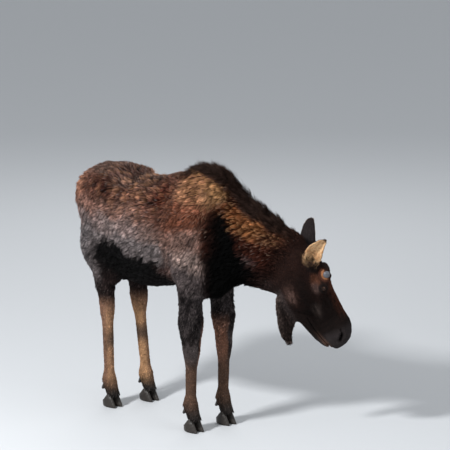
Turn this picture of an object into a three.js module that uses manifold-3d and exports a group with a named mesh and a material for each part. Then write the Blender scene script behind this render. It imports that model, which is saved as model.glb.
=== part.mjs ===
// A young bull moose, antlers shed, standing with its neck turned to its left and its muzzle lowered.
//
// Millimetres, +Z up. While the body is laid out, +X is forward along the trunk, +Y is the animal's left
// and the origin is on the floor below the top of the hump. At the end the whole animal is moved so that the
// origin is at the middle of the bottom of its box.
//
// Flesh is described as soft masses that blend into each other. Each named piece is a closed skin of rings
// cast out from its own centre line on to those masses, so neighbours share one smooth outline and meet at a
// thin cut.
import * as THREE from 'three';
import { mergeVertices } from 'three/addons/utils/BufferGeometryUtils.js';
import Module from 'manifold-3d';

const wasm = await Module();
wasm.setup();

// ---------------------------------------------------------------- driving sizes

const SHOULDER_HEIGHT = 1750; // floor to the hair tips of the hump
const CUT = 0.4; // clear gap between neighbouring pieces
const SOFT = 70; // how widely two masses of the trunk melt into each other

const TRUNK_SIDES = 26;
const LEG_SIDES = 11;

const NECK_TURN = 37; // degrees that the neck turns to the animal's left
const HEAD_TURN = 50; // degrees that the face points to the left of the trunk
const HEAD_PITCH = 64.8; // degrees that the face points below the horizon
const POLL = [520, 370, 1222]; // top of the head between the ears

const FORE_X = 0; // forefeet below the hump
const HIND_X = -805; // hind feet, brought a little under the body
const STANCE = 138; // feet to each side of the middle

const EYE_RADIUS = 20;
const HOOF_HEIGHT = 78;

const HAIR_BROWN = 0x3a2a22;
const HAIR_BLACK = 0x1f1a18;
const HAIR_BUFF = 0xa5835c;
const HORN_GREY = 0x2b2724;
const BONE_GREY = 0x8f939b;
const EYE_DARK = 0x120d0a;

// ---------------------------------------------------------------- frames

// Evenly spaced values from one number to another, or spaced by a shape.
const steps = (from, to, count, shape = (t) => t) => Array.from(
  { length: count + 1 },
  (_, i) => from + (to - from) * shape(i / count),
);

const vec = (x, y, z) => new THREE.Vector3(x, y, z);
const radians = THREE.MathUtils.degToRad;

// A frame with x along the heading, y to the animal's left and z on its upper side.
function frameAt(origin, heading, pitch) {
  const turn = new THREE.Euler(0, radians(pitch), radians(heading), 'ZYX');
  return new THREE.Matrix4().makeRotationFromEuler(turn).setPosition(...origin);
}

const BODY = frameAt([0, 0, 0], 0, 0);
const NECK = frameAt([0, 0, 0], NECK_TURN, 0);
const HEAD = frameAt(POLL, HEAD_TURN, HEAD_PITCH);

const inFrame = (frame, point) => vec(...point).applyMatrix4(frame);

// ---------------------------------------------------------------- soft masses

// Each mass is a function that gives a point's distance outside it, or a negative depth inside it.

function oval(frame, at, radii, tilt = 0) {
  const own = frame.clone()
    .multiply(new THREE.Matrix4().makeTranslation(...at))
    .multiply(new THREE.Matrix4().makeRotationY(radians(tilt)))
    .invert();
  const p = vec(0, 0, 0);
  const [rx, ry, rz] = radii;
  return (point) => {
    p.copy(point).applyMatrix4(own);
    const near = Math.hypot(p.x / rx, p.y / ry, p.z / rz);
    const steep = Math.hypot(p.x / (rx * rx), p.y / (ry * ry), p.z / (rz * rz));
    return steep < 1e-9 ? -Math.min(rx, ry, rz) : (near * (near - 1)) / steep;
  };
}

// A tapered round bar between two points, narrowed sideways to `flat` of its depth.
function bar(frame, from, to, fromRadius, toRadius, flat = 1) {
  const own = frame.clone().invert();
  const a = vec(from[0], from[1] / flat, from[2]);
  const b = vec(to[0], to[1] / flat, to[2]);
  const span = b.clone().sub(a);
  const length2 = span.lengthSq();
  const p = vec(0, 0, 0);
  return (point) => {
    p.copy(point).applyMatrix4(own);
    p.y /= flat;
    p.sub(a);
    const t = THREE.MathUtils.clamp(p.dot(span) / length2, 0, 1);
    const radius = THREE.MathUtils.lerp(fromRadius, toRadius, t);
    return (p.addScaledVector(span, -t).length() - radius) * Math.sqrt(flat);
  };
}

const mirrored = ([x, y, z]) => [x, -y, z];
const ovals = (frame, at, radii, tilt) => [at, mirrored(at)].map((side) => oval(frame, side, radii, tilt));

// Masses melted together, each one within `soft` of the others.
function melt(masses, soft) {
  return (point) => masses.reduce((so_far, mass) => {
    const next = mass(point);
    const near = Math.max(soft - Math.abs(so_far - next), 0) / soft;
    return Math.min(so_far, next) - (near * near * soft) / 4;
  }, 1e4);
}

// ---------------------------------------------------------------- the flesh

const humpTop = SHOULDER_HEIGHT;

const trunkFlesh = melt([
  oval(BODY, [-430, 0, 1225], [490, 275, 355]), // barrel of ribs
  oval(BODY, [-580, 0, 1058], [300, 212, 222]), // belly
  oval(BODY, [-40, 0, 1230], [255, 205, 350]), // chest
  oval(BODY, [55, 0, 985], [150, 120, 128]), // brisket
  oval(BODY, [30, 0, humpTop - 192], [190, 92, 186]), // spines of the hump
  bar(BODY, [0, 0, humpTop - 156], [-430, 0, humpTop - 272], 118, 92, 0.8), // saddle behind the hump
  oval(BODY, [-840, 0, 1350], [270, 215, 268]), // croup
  ...ovals(BODY, [-790, 135, 1480], [150, 85, 95]), // points of the hips
  ...ovals(BODY, [-1018, 92, 1320], [106, 90, 190]), // buttocks
  oval(BODY, [-1008, 0, 1400], [98, 72, 120]), // root of the tail
  ...ovals(BODY, [-860, 138, 1110], [165, 88, 280], -14), // thighs
  ...ovals(BODY, [0, 138, 1250], [130, 78, 320], -8), // shoulder blades
  ...ovals(BODY, [-10, 146, 1040], [112, 74, 125]), // upper arms
], SOFT);

const neckFlesh = melt([
  bar(NECK, [0, 0, 1330], [290, 0, 1226], 288, 232, 0.62), // root of the neck
  bar(NECK, [290, 0, 1226], [520, 0, 1072], 232, 172, 0.64), // neck
  bar(NECK, [36, 0, 1652], [550, 0, 1200], 86, 50, 0.8), // mane along the crest
  bar(NECK, [180, 0, 1062], [400, 0, 1012], 84, 84, 0.7), // throat and windpipe
], SOFT);

const headFlesh = melt([
  oval(HEAD, [45, 0, -78], [115, 90, 92]), // poll
  oval(HEAD, [135, 0, -45], [130, 84, 98]), // brain case
  oval(HEAD, [205, 0, -8], [95, 76, 74]), // forehead
  ...ovals(HEAD, [202, 68, 36], [34, 32, 30]), // roots of the pedicles
  ...ovals(HEAD, [274, 72, -4], [50, 36, 42]), // brows and eye sockets
  ...ovals(HEAD, [345, 34, -72], [120, 42, 70]), // crests of the face
  ...ovals(HEAD, [255, 58, -150], [125, 50, 106]), // cheeks
  oval(HEAD, [255, 0, -172], [140, 60, 96]), // throat between the jaws
  bar(HEAD, [240, 0, -8], [545, 0, -6], 60, 62, 0.84), // bridge of the nose
  oval(HEAD, [400, 0, -80], [165, 62, 96]), // upper jaw
  oval(HEAD, [575, 0, -44], [112, 68, 96]), // nose
  ...ovals(HEAD, [612, 44, -38], [46, 30, 48]), // nostrils
  oval(HEAD, [628, 0, -84], [64, 64, 48]), // upper lip
], 40);

const jawFlesh = melt([
  bar(HEAD, [320, 0, -200], [560, 0, -146], 74, 54, 0.86), // lower jaw
  oval(HEAD, [602, 0, -132], [60, 48, 40]), // chin and lower lip
], 40);

const bodyFlesh = melt([trunkFlesh, neckFlesh, headFlesh], SOFT);

// Each leg is described by the places of its joints.
function foreFlesh(side, step) {
  const y = side * STANCE;
  const x = FORE_X + step;
  return [
    bar(BODY, [FORE_X - 18, side * (STANCE - 12), 1000], [x, y, 715], 88, 76, 0.84), // forearm, upper
    bar(BODY, [x, y, 715], [x + 4, y, 545], 76, 53, 0.86), // forearm, lower
    oval(BODY, [x + 8, y, 520], [58, 50, 66]), // knee
    bar(BODY, [x + 6, y, 500], [x - 2, y, 180], 44, 39, 0.86), // cannon
    oval(BODY, [x - 6, y, 168], [49, 43, 46]), // fetlock
    bar(BODY, [x - 2, y, 158], [x + 36, y, 88], 41, 47, 1), // pastern
  ];
}

function hindFlesh(side, step) {
  const y = side * STANCE;
  const x = HIND_X + step;
  return [
    bar(BODY, [-862, side * (STANCE - 16), 1010], [-848, y, 850], 104, 82, 0.72), // gaskin, upper
    bar(BODY, [-848, y, 850], [-822, y, 700], 80, 54, 0.78), // gaskin, lower
    oval(BODY, [-868, y, 704], [27, 25, 54], 8), // point of the hock
    oval(BODY, [-824, y, 652], [54, 43, 72], 4), // hock
    bar(BODY, [-824, y, 630], [x - 2, y, 190], 44, 39, 0.84), // cannon
    oval(BODY, [x - 6, y, 172], [50, 43, 48]), // fetlock
    bar(BODY, [x - 2, y, 160], [x + 36, y, 88], 41, 47, 1), // pastern
  ];
}

// ---------------------------------------------------------------- casting rings on to the flesh

const FARTHEST = 700;
const MARCH = 12;

// How far the surface is from a point inside the flesh, out along a direction.
// `swell` moves the surface outwards.
function reach(flesh, from, out, farthest = FARTHEST, swell = 0) {
  const p = vec(0, 0, 0);
  const outside = (t) => flesh(p.copy(from).addScaledVector(out, t)) > swell;
  let far = 0;
  do far += MARCH; while (far < farthest && !outside(far));
  if (far >= farthest) return farthest;
  let near = far - MARCH;
  for (let step = 0; step < 12; step += 1) {
    const middle = (near + far) / 2;
    if (outside(middle)) far = middle; else near = middle;
  }
  return near;
}

// Rings across a centre line. Each lies square to the line, and its first point is on the animal's left.
function ringsAlong(line, stations, left) {
  return stations.map((s) => {
    const at = line.getPointAt(s);
    const along = line.getTangentAt(s);
    const up = along.clone().cross(left).normalize();
    return { at, along, up, side: up.clone().cross(along).normalize() };
  });
}

// A closed skin: rings of equal size joined by triangles, with a fan to one point at each end.
function closedSkin(rings, first, last) {
  const points = [first, ...rings.flat(), last];
  const sides = rings[0].length;
  const at = (ring, side) => 1 + ring * sides + (side % sides);
  const faces = [];
  for (let side = 0; side < sides; side += 1) {
    faces.push(0, at(0, side + 1), at(0, side));
    for (let ring = 0; ring < rings.length - 1; ring += 1) {
      faces.push(at(ring, side), at(ring, side + 1), at(ring + 1, side + 1));
      faces.push(at(ring, side), at(ring + 1, side + 1), at(ring + 1, side));
    }
    const end = rings.length - 1;
    faces.push(at(end, side), at(end, side + 1), points.length - 1);
  }
  const geometry = new THREE.BufferGeometry().setFromPoints(points);
  geometry.setIndex(faces);
  return geometry;
}

const BOWL = 3; // rings in a rounded end

// The skin of the flesh round a centre line. A cut end is flat, and a rounded end is carried round on to the
// surface. `swell` moves the whole skin outwards, cut ends too.
function wrap(flesh, line, { sides, roundStart = false, roundEnd = false, farthest, swell = 0 }) {
  const moved = (ring, by) => ({ ...ring, at: ring.at.clone().addScaledVector(ring.along, by) });
  const rings = [
    roundStart ? line[0] : moved(line[0], -swell),
    ...line.slice(1, -1),
    roundEnd ? line.at(-1) : moved(line.at(-1), swell),
  ];
  const castRing = ({ at, along, up, side }, lean) => Array.from({ length: sides }, (_, i) => {
    const angle = (i / sides) * 2 * Math.PI;
    const out = side.clone().multiplyScalar(Math.cos(angle)).addScaledVector(up, Math.sin(angle))
      .multiplyScalar(Math.cos(lean)).addScaledVector(along, Math.sin(lean));
    return at.clone().addScaledVector(out, reach(flesh, at, out, farthest, swell));
  });
  const bowl = (ring, sign) => steps(1, BOWL, BOWL - 1)
    .map((k) => castRing(ring, sign * (k / (BOWL + 1)) * (Math.PI / 2)));
  const end = (ring, sign, round) => {
    const out = ring.along.clone().multiplyScalar(sign);
    return ring.at.clone().addScaledVector(out, round ? reach(flesh, ring.at, out, FARTHEST, swell) : 0);
  };
  return closedSkin([
    ...(roundStart ? bowl(rings[0], -1).reverse() : []),
    ...rings.map((ring) => castRing(ring, 0)),
    ...(roundEnd ? bowl(rings.at(-1), 1) : []),
  ], end(rings[0], -1, roundStart), end(rings.at(-1), 1, roundEnd));
}

// ---------------------------------------------------------------- solids

function solidOf(geometry) {
  const bare = geometry.clone();
  bare.deleteAttribute('normal');
  bare.deleteAttribute('uv');
  const merged = mergeVertices(bare, 1e-3);
  return new wasm.Manifold(new wasm.Mesh({
    numProp: 3,
    vertProperties: merged.attributes.position.array,
    triVerts: new Uint32Array(merged.index.array),
  }));
}

function geometryOf(solid) {
  const { vertProperties, triVerts, numProp } = solid.getMesh();
  const positions = new Float32Array((vertProperties.length / numProp) * 3);
  for (let i = 0; i < positions.length / 3; i += 1) {
    positions.set(vertProperties.subarray(i * numProp, i * numProp + 3), i * 3);
  }
  return new THREE.BufferGeometry()
    .setAttribute('position', new THREE.BufferAttribute(positions, 3))
    .setIndex(new THREE.BufferAttribute(triVerts, 1));
}

// The largest body of a solid: a cut may leave slivers where two skins run close together.
const largest = (solid) => solid.decompose().reduce((a, b) => (b.volume() > a.volume() ? b : a));

const cutBy = (solid, ...cutters) => largest(cutters.reduce((left, cutter) => left.subtract(cutter), solid));

// ---------------------------------------------------------------- trunk, neck, head and muzzle

const LEFT = vec(0, 1, 0);

const centreLine = new THREE.CatmullRomCurve3([
  vec(-960, 0, 1330),
  vec(-850, 0, 1290),
  vec(-500, 0, 1215),
  vec(-220, 0, 1230),
  vec(-60, 4, 1254),
  vec(44, 36, 1264),
  inFrame(NECK, [150, 0, 1254]),
  inFrame(NECK, [260, 0, 1222]),
  inFrame(NECK, [400, 0, 1145]),
  inFrame(NECK, [500, 0, 1085]),
  inFrame(HEAD, [200, 0, -100]),
  inFrame(HEAD, [330, 0, -80]),
  inFrame(HEAD, [480, 0, -62]),
  inFrame(HEAD, [585, 0, -62]),
], false, 'centripetal');
centreLine.arcLengthDivisions = 400;

// Where one named length of the body ends and the next begins, as shares of the centre line.
const NECK_START = 0.505;
const HEAD_START = 0.716;
const MUZZLE_START = 0.865;


const axis = (stations) => ringsAlong(centreLine, stations, LEFT);
const gap = (2 * CUT) / centreLine.getLength();

// The head's centre line hangs nearly upright, so its rings are cast square to the face's own left.
const headLeft = vec(0, 1, 0).transformDirection(HEAD);
const turned = (stations) => stations.map((s) => {
  const share = THREE.MathUtils.smoothstep(s, NECK_START, HEAD_START);
  return ringsAlong(centreLine, [s], LEFT.clone().lerp(headLeft, share).normalize())[0];
});

const lengths = {
  trunk: { rings: axis(steps(0, NECK_START - gap, 16, (t) => 1.3 * t - 0.3 * t * t)), roundStart: true },
  neck: { rings: turned(steps(NECK_START, HEAD_START - gap, 9, (t) => 0.72 * t + 0.28 * t * t)) },
  head: { rings: turned(steps(HEAD_START, MUZZLE_START - gap, 10)) },
  muzzle: { rings: turned(steps(MUZZLE_START, 1, 8)), roundEnd: true },
};

const wrapped = (name, swell) => {
  const { rings, ...ends } = lengths[name];
  return solidOf(wrap(bodyFlesh, rings, { sides: TRUNK_SIDES, swell, ...ends }));
};
const core = Object.fromEntries(Object.keys(lengths).map((name) => [name, wrapped(name, 0)]));
const clear = Object.fromEntries(Object.keys(lengths).map((name) => [name, wrapped(name, CUT)]));
const around = [clear.trunk, clear.neck, clear.head, clear.muzzle];

// ---------------------------------------------------------------- lower jaw and bell

const jawLine = new THREE.LineCurve3(inFrame(HEAD, [345, 0, -168]), inFrame(HEAD, [622, 0, -130]));
const jawWrapped = (swell) => solidOf(wrap(jawFlesh, ringsAlong(jawLine, steps(0, 1, 5), headLeft), {
  sides: LEG_SIDES,
  roundStart: true,
  roundEnd: true,
  swell,
}));
const lowerJaw = cutBy(jawWrapped(0), ...around);

// The bell hangs from the throat as a flat rope, and a fold of skin joins its upper half to the jaw.
const BELL = [[190, -236], [275, -285], [367, -329], [450, -346], [506, -340]].map(([x, z]) => [x, 0, z]);
const bellFlesh = melt([
  bar(HEAD, BELL[0], BELL[1], 44, 44, 0.74),
  bar(HEAD, BELL[1], BELL[2], 44, 43, 0.74),
  bar(HEAD, BELL[2], BELL[3], 43, 42, 0.74),
  bar(HEAD, BELL[3], BELL[4], 42, 30, 0.74),
  oval(HEAD, [375, 0, -262], [95, 22, 66], 28), // fold of skin below the jaw
], 30);
const bellLine = new THREE.CatmullRomCurve3(BELL.map((at) => inFrame(HEAD, at)));
const bell = cutBy(
  solidOf(wrap(bellFlesh, ringsAlong(bellLine, steps(0, 1, 8), headLeft), {
    sides: LEG_SIDES,
    roundEnd: true,
    farthest: 130,
  })),
  ...around,
  jawWrapped(CUT),
);

// ---------------------------------------------------------------- ears, eyes and pedicles

const EAR_LENGTH = 300;
const EAR_HALF_WIDTH = 64;
const EAR_SIDES = 10;

// Half the width of an ear at a share of its length: narrow at the root, widest at two fifths.
const earHalfWidth = (s) => {
  const root = Math.min(1, 0.52 + 1.3 * s);
  const tip = Math.max(0.06, 1 - s ** 2.4) ** 0.8;
  return EAR_HALF_WIDTH * root * tip;
};

// An ear from its root to its tip: a tapered leaf, bowed to one side and scooped out where `opening` points.
function ear(root, tip, opening, bow) {
  const from = inFrame(HEAD, root);
  const along = inFrame(HEAD, tip).sub(from).normalize();
  const open = vec(...opening).transformDirection(HEAD);
  open.addScaledVector(along, -open.dot(along)).normalize();
  const across = open.clone().cross(along);
  const at = (s, lift) => from.clone().addScaledVector(along, s * EAR_LENGTH)
    .addScaledVector(open, lift - 22 * Math.sin(s * Math.PI))
    .addScaledVector(across, bow * Math.sin(s * Math.PI));
  const ring = (s, wide, deep, lift) => Array.from({ length: EAR_SIDES }, (_, i) => {
    const angle = (i / EAR_SIDES) * 2 * Math.PI;
    return at(s, lift)
      .addScaledVector(across, wide * Math.cos(angle))
      .addScaledVector(open, deep * Math.sin(angle));
  });
  const leaf = steps(0, 1, 8).map((s) => ring(s, earHalfWidth(s), 0.62 * earHalfWidth(s) + 3, 0));
  const scoop = steps(0.16, 0.95, 6).map((s) => {
    const wide = earHalfWidth(s);
    const depth = 0.62 * wide + 3;
    return ring(s, wide - 4.5, depth, 0.62 * depth);
  });
  const scooped = closedSkin(scoop, at(0.15, 24), at(0.96, 6));
  return cutBy(solidOf(closedSkin(leaf, at(0, 0), at(1.01, 0))), solidOf(scooped), clear.head, clear.neck);
}

// How far the side of the face is from its middle plane, at a length down the face and a height over it.
const faceHalfWidth = (down, above) => reach(headFlesh, inFrame(HEAD, [down, 0, above]), headLeft);

const EYE = [271, -4];
const EYE_PROUD = 7;
const eyeOut = faceHalfWidth(...EYE) + EYE_PROUD - EYE_RADIUS;
function eyeBall(side, radius) {
  const at = inFrame(HEAD, [EYE[0], side * eyeOut, EYE[1]]);
  return solidOf(new THREE.SphereGeometry(radius, 12, 8).translate(at.x, at.y, at.z));
}

// A pedicle: the short bony stump, with a domed scar where the antler broke off.
const PEDICLE_RADIUS = 25;
const PEDICLE = [198, -72, 46];
const PEDICLE_AIM = [-0.04, -0.97, 0.22];
function pedicle(at, aim) {
  const profile = [[0, 0], [28, 0], [26, 18], [PEDICLE_RADIUS, 30], [19, 36], [0, 39]];
  const stump = new THREE.LatheGeometry(profile.map(([r, h]) => new THREE.Vector2(r, h)), 14);
  const outward = vec(...aim).transformDirection(HEAD);
  stump.applyQuaternion(new THREE.Quaternion().setFromUnitVectors(vec(0, 1, 0), outward));
  stump.translate(...inFrame(HEAD, at).toArray());
  return cutBy(solidOf(stump), clear.head);
}

// ---------------------------------------------------------------- legs and hooves

// A claw of the hoof: flat below, round at the heel and pointed at the toe, leaning forward like the foot.
const CLAW_LENGTH = 132;
const CLAW_WIDTH = 52;
function claw(x, y) {
  const SIDES = 10;
  const levels = [0, 6, 40, HOOF_HEIGHT];
  const rings = levels.map((height) => {
    const s = height / HOOF_HEIGHT;
    const half = (CLAW_LENGTH / 2) * (1 - 0.34 * s) * (height === 0 ? 0.96 : 1);
    const wide = (CLAW_WIDTH / 2) * (1 - 0.12 * s) * (height === 0 ? 0.93 : 1);
    return Array.from({ length: SIDES }, (_, i) => {
      const angle = (i / SIDES) * 2 * Math.PI;
      const forward = Math.cos(angle);
      const taper = 1 - 0.42 * Math.max(0, forward) ** 1.5;
      return vec(x + 34 - 26 * s + half * forward, y + wide * Math.sin(angle) * taper, height);
    });
  });
  return solidOf(closedSkin(rings, vec(x + 34, y, 0), vec(x + 8, y, HOOF_HEIGHT)));
}

// A dew claw: a blunt little cone behind the pastern, pointing down and back.
function dewClaw(x, y) {
  const profile = [[0, 0], [16, 0], [17, 18], [10, 40], [0, 50]];
  const cone = new THREE.LatheGeometry(profile.map(([r, h]) => new THREE.Vector2(r, h)), 6);
  const aim = vec(-0.62, 0, -0.78).normalize();
  cone.applyQuaternion(new THREE.Quaternion().setFromUnitVectors(vec(0, 1, 0), aim));
  return solidOf(cone.translate(x - 22, y, 142));
}

// The heights at which each leg is parted from the trunk, and its upper length from its lower.
const FORE_CUTS = { body: 935, joint: 600 };
const HIND_CUTS = { body: 925, joint: 740 };
const tallBox = (low, high) => solidOf(
  new THREE.BoxGeometry(4000, 4000, high - low).translate(0, 0, (low + high) / 2),
);

// A leg down to the coronet. Its root joins the trunk, and the rest is an upper and a lower piece.
function leg(flesh, joints, cuts, farthest) {
  const line = new THREE.CatmullRomCurve3(joints.map((at) => vec(...at)));
  line.arcLengthDivisions = 200;
  const whole = melt([...flesh, trunkFlesh], 30);
  const rings = ringsAlong(line, steps(0, 1, 16), LEFT);
  const skin = (swell) => solidOf(wrap(whole, rings, { sides: LEG_SIDES, farthest, swell }));
  const solid = skin(0);
  const slice = (low, high) => largest(solid.intersect(tallBox(low, high)));
  return {
    root: slice(cuts.body + CUT / 2, 2000),
    upper: cutBy(slice(cuts.joint + CUT / 2, cuts.body - CUT / 2), clear.trunk, clear.neck),
    lower: slice(HOOF_HEIGHT + CUT, cuts.joint - CUT / 2),
    swollen: skin(CUT),
  };
}

function foreLeg(side, step) {
  const y = side * STANCE;
  const x = FORE_X + step;
  return leg(foreFlesh(side, step), [
    [FORE_X - 22, side * (STANCE + 10), 1030],
    [FORE_X - 20, side * (STANCE + 8), 930],
    [x, y, 715],
    [x + 6, y, 520],
    [x - 2, y, 300],
    [x - 4, y, 170],
    [x + 42, y, 66],
  ], FORE_CUTS, 135);
}

function hindLeg(side, step) {
  const y = side * STANCE;
  const x = HIND_X + step;
  return leg(hindFlesh(side, step), [
    [-856, side * (STANCE + 4), 1060],
    [-852, side * (STANCE + 2), 960],
    [-846, y, 850],
    [-826, y, 670],
    [(x - 826) / 2, y, 410],
    [x - 4, y, 174],
    [x + 42, y, 66],
  ], HIND_CUTS, 175);
}

const STEPS = { fore: { right: 0, left: 4 }, hind: { right: 0, left: 48 } };
const SIDES_OF = { right: -1, left: 1 };
const CLAW_SPREAD = 29;

// ---------------------------------------------------------------- tail

const TAIL_ROOT = [-1085, 0, 1482];
const TAIL_TIP = [-1168, 0, 1366];
const tailLine = new THREE.QuadraticBezierCurve3(vec(...TAIL_ROOT), vec(-1172, 0, 1470), vec(...TAIL_TIP));
const tailRings = ringsAlong(tailLine, steps(0, 1, 5), LEFT).map(({ at, up, side }, i) => Array.from(
  { length: 8 },
  (_, k) => {
    const angle = (k / 8) * 2 * Math.PI;
    const radius = 27 - 2.4 * i;
    return at.clone()
      .addScaledVector(side, radius * 1.15 * Math.cos(angle))
      .addScaledVector(up, radius * 0.75 * Math.sin(angle));
  },
));
const tail = cutBy(solidOf(closedSkin(tailRings, vec(...TAIL_ROOT), vec(-1166, 0, 1354))), clear.trunk);

// ---------------------------------------------------------------- assembly

const coat = (color) => new THREE.MeshStandardMaterial({ color, roughness: 0.9, metalness: 0 });
const FINISH = {
  brown: coat(HAIR_BROWN),
  black: coat(HAIR_BLACK),
  buff: coat(HAIR_BUFF),
  horn: new THREE.MeshStandardMaterial({ color: HORN_GREY, roughness: 0.55, metalness: 0 }),
  bone: new THREE.MeshStandardMaterial({ color: BONE_GREY, roughness: 0.5, metalness: 0 }),
  eye: new THREE.MeshStandardMaterial({ color: EYE_DARK, roughness: 0.1, metalness: 0 }),
};

const moose = new THREE.Group();
function add(name, solid, finish) {
  const mesh = new THREE.Mesh(geometryOf(solid), finish);
  mesh.name = name;
  moose.add(mesh);
}

add('neck', cutBy(core.neck, clear.trunk), FINISH.brown);
add('head', cutBy(core.head, eyeBall(-1, EYE_RADIUS + CUT), eyeBall(1, EYE_RADIUS + CUT)), FINISH.brown);
add('muzzle', core.muzzle, FINISH.black);
add('lower_jaw', lowerJaw, FINISH.black);
add('bell', bell, FINISH.black);
add('tail', tail, FINISH.brown);
add('ear_right', ear([128, -66, -26], [-49, -250, 154], [0.2, -0.54, -0.36], 26), FINISH.buff);
add('ear_left', ear([128, 66, -26], [-107, 200, 105], [0.3, 0.9, 0.1], -12), FINISH.brown);
add('eye_right', eyeBall(-1, EYE_RADIUS), FINISH.eye);
add('eye_left', eyeBall(1, EYE_RADIUS), FINISH.eye);
add('pedicle_right', pedicle(PEDICLE, PEDICLE_AIM), FINISH.bone);
add('pedicle_left', pedicle(mirrored(PEDICLE), mirrored(PEDICLE_AIM)), FINISH.bone);

const legs = [['fore', foreLeg, FORE_X], ['hind', hindLeg, HIND_X]].flatMap(([end, build, footX]) => (
  Object.entries(SIDES_OF).map(([name, side]) => {
    const step = STEPS[end][name];
    return { place: `${end}_${name}`, side, x: footX + step, ...build(side, step) };
  })
));

for (const { place, side, x, upper, lower, swollen } of legs) {
  add(`leg_${place}_upper`, upper, FINISH.black);
  add(`leg_${place}_lower`, lower, FINISH.black);
  for (const [face, half] of [['outer', side], ['inner', -side]]) {
    const y = side * STANCE + half * CLAW_SPREAD;
    add(`hoof_${place}_${face}`, claw(x, y), FINISH.horn);
    add(`dewclaw_${place}_${face}`, cutBy(dewClaw(x, side * STANCE + half * 22), swollen), FINISH.horn);
  }
}
const roots = legs.map(({ root }) => cutBy(root, clear.neck));
add('trunk', largest(roots.reduce((body, root) => body.add(root), core.trunk)), FINISH.brown);

const box = new THREE.Box3().setFromObject(moose);
const middle = box.getCenter(vec(0, 0, 0));
moose.position.set(-middle.x, -middle.y, -box.min.z);

export default moose;
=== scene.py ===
"""A young bull moose with shed antlers, standing with its neck turned left and its muzzle lowered."""
import math

import bpy
import numpy as np
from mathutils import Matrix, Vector
from mathutils.bvhtree import BVHTree
from mathutils.kdtree import KDTree


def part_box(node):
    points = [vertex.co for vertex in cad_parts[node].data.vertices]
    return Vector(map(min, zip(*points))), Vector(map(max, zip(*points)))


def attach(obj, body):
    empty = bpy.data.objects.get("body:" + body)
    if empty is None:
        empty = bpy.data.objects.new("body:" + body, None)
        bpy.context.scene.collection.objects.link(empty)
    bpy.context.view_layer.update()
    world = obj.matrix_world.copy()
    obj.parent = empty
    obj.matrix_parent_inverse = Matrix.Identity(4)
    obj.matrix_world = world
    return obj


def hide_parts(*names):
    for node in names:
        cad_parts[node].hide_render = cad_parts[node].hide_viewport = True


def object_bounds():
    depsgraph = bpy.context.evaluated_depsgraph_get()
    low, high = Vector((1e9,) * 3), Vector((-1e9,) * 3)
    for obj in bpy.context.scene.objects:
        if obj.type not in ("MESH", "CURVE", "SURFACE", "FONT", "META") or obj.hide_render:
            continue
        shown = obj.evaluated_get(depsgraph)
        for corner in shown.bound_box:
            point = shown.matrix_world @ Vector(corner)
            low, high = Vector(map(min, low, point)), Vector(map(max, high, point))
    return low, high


bl_info = {
    "name": "Bull moose",
    "version": (1, 0, 0),
    "blender": (4, 5, 0),
    "location": "3D View > Sidebar > Moose",
    "description": "Builds the skin, coat, eyes, antler scars and hooves of a bull moose round its CAD frame",
    "category": "Add Mesh",
}

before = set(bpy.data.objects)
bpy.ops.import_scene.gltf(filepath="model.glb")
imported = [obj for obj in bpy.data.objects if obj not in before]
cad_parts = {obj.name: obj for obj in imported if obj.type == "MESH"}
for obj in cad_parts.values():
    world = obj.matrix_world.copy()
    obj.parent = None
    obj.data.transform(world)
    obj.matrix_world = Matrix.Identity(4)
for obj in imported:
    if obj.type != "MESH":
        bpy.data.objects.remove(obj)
CAD_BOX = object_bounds()

SIDES = ("right", "left")  # read as SIDES[side > 0], where side is -1 on the right and 1 on the left
LEGS = tuple(f"{end}_{side}" for end in ("fore", "hind") for side in SIDES)
CLAWS = tuple(f"{leg}_{claw}" for leg in LEGS for claw in ("inner", "outer"))
FLESH = (
    ("trunk", ("trunk",)),
    ("neck", ("neck",)),
    ("head", ("head", "muzzle", "lower_jaw")),
    ("bell", ("bell",)),
    ("tail", ("tail",)),
    ("ears", ("ear_right", "ear_left")),
    ("upper", tuple(f"leg_{leg}_upper" for leg in LEGS)),
    ("lower", tuple(f"leg_{leg}_lower" for leg in LEGS)),
)

# ---------------------------------------------------------------- frames


def middle(node):
    """The centre of a CAD node's box."""
    low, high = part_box(node)
    return np.array((low + high) / 2)


# The head's own frame: down the face from the poll, to the animal's left, and up out of the forehead.
HEAD_TURN, HEAD_PITCH = math.radians(50), math.radians(64.8)
LEVEL = np.array([math.cos(HEAD_TURN), math.sin(HEAD_TURN), 0.0])  # the way the head is turned, level
DOWN_FACE = LEVEL * math.cos(HEAD_PITCH) - np.array([0.0, 0.0, math.sin(HEAD_PITCH)])
TO_LEFT = np.array([-math.sin(HEAD_TURN), math.cos(HEAD_TURN), 0.0])
OUT_OF_BROW = np.cross(DOWN_FACE, TO_LEFT)
HEAD_AXES = np.stack([DOWN_FACE, TO_LEFT, OUT_OF_BROW])
BETWEEN_EYES = np.array([0.271, 0.0, -0.004])
EYE_OFF_MIDDLE = np.array([0.0, 0.10, 0.0])
POLL = (middle("eye_right") + middle("eye_left")) / 2 - BETWEEN_EYES @ HEAD_AXES
# The body's own frame: its origin is on the floor below the top of the hump.
POLL_IN_BODY = np.array([0.52, 0.37, 1.222])
BELOW_HUMP = POLL - POLL_IN_BODY
# The neck's line: where it starts in the body's frame, its heading, and how it falls for each metre along.
NECK_ROOT = np.array([-0.05, 0.0, 1.42])
NECK_HEADING = (0.839, 0.544)
NECK_FALL = 0.291


def in_head(points):
    """Points of the model in the head's frame: down, to the left and out."""
    return (points - POLL) @ HEAD_AXES.T


def from_head(points):
    return np.asarray(points) @ HEAD_AXES + POLL


def in_body(points):
    """Points of the model in the body's frame: forward, to the left and up."""
    return points - BELOW_HUMP


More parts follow.
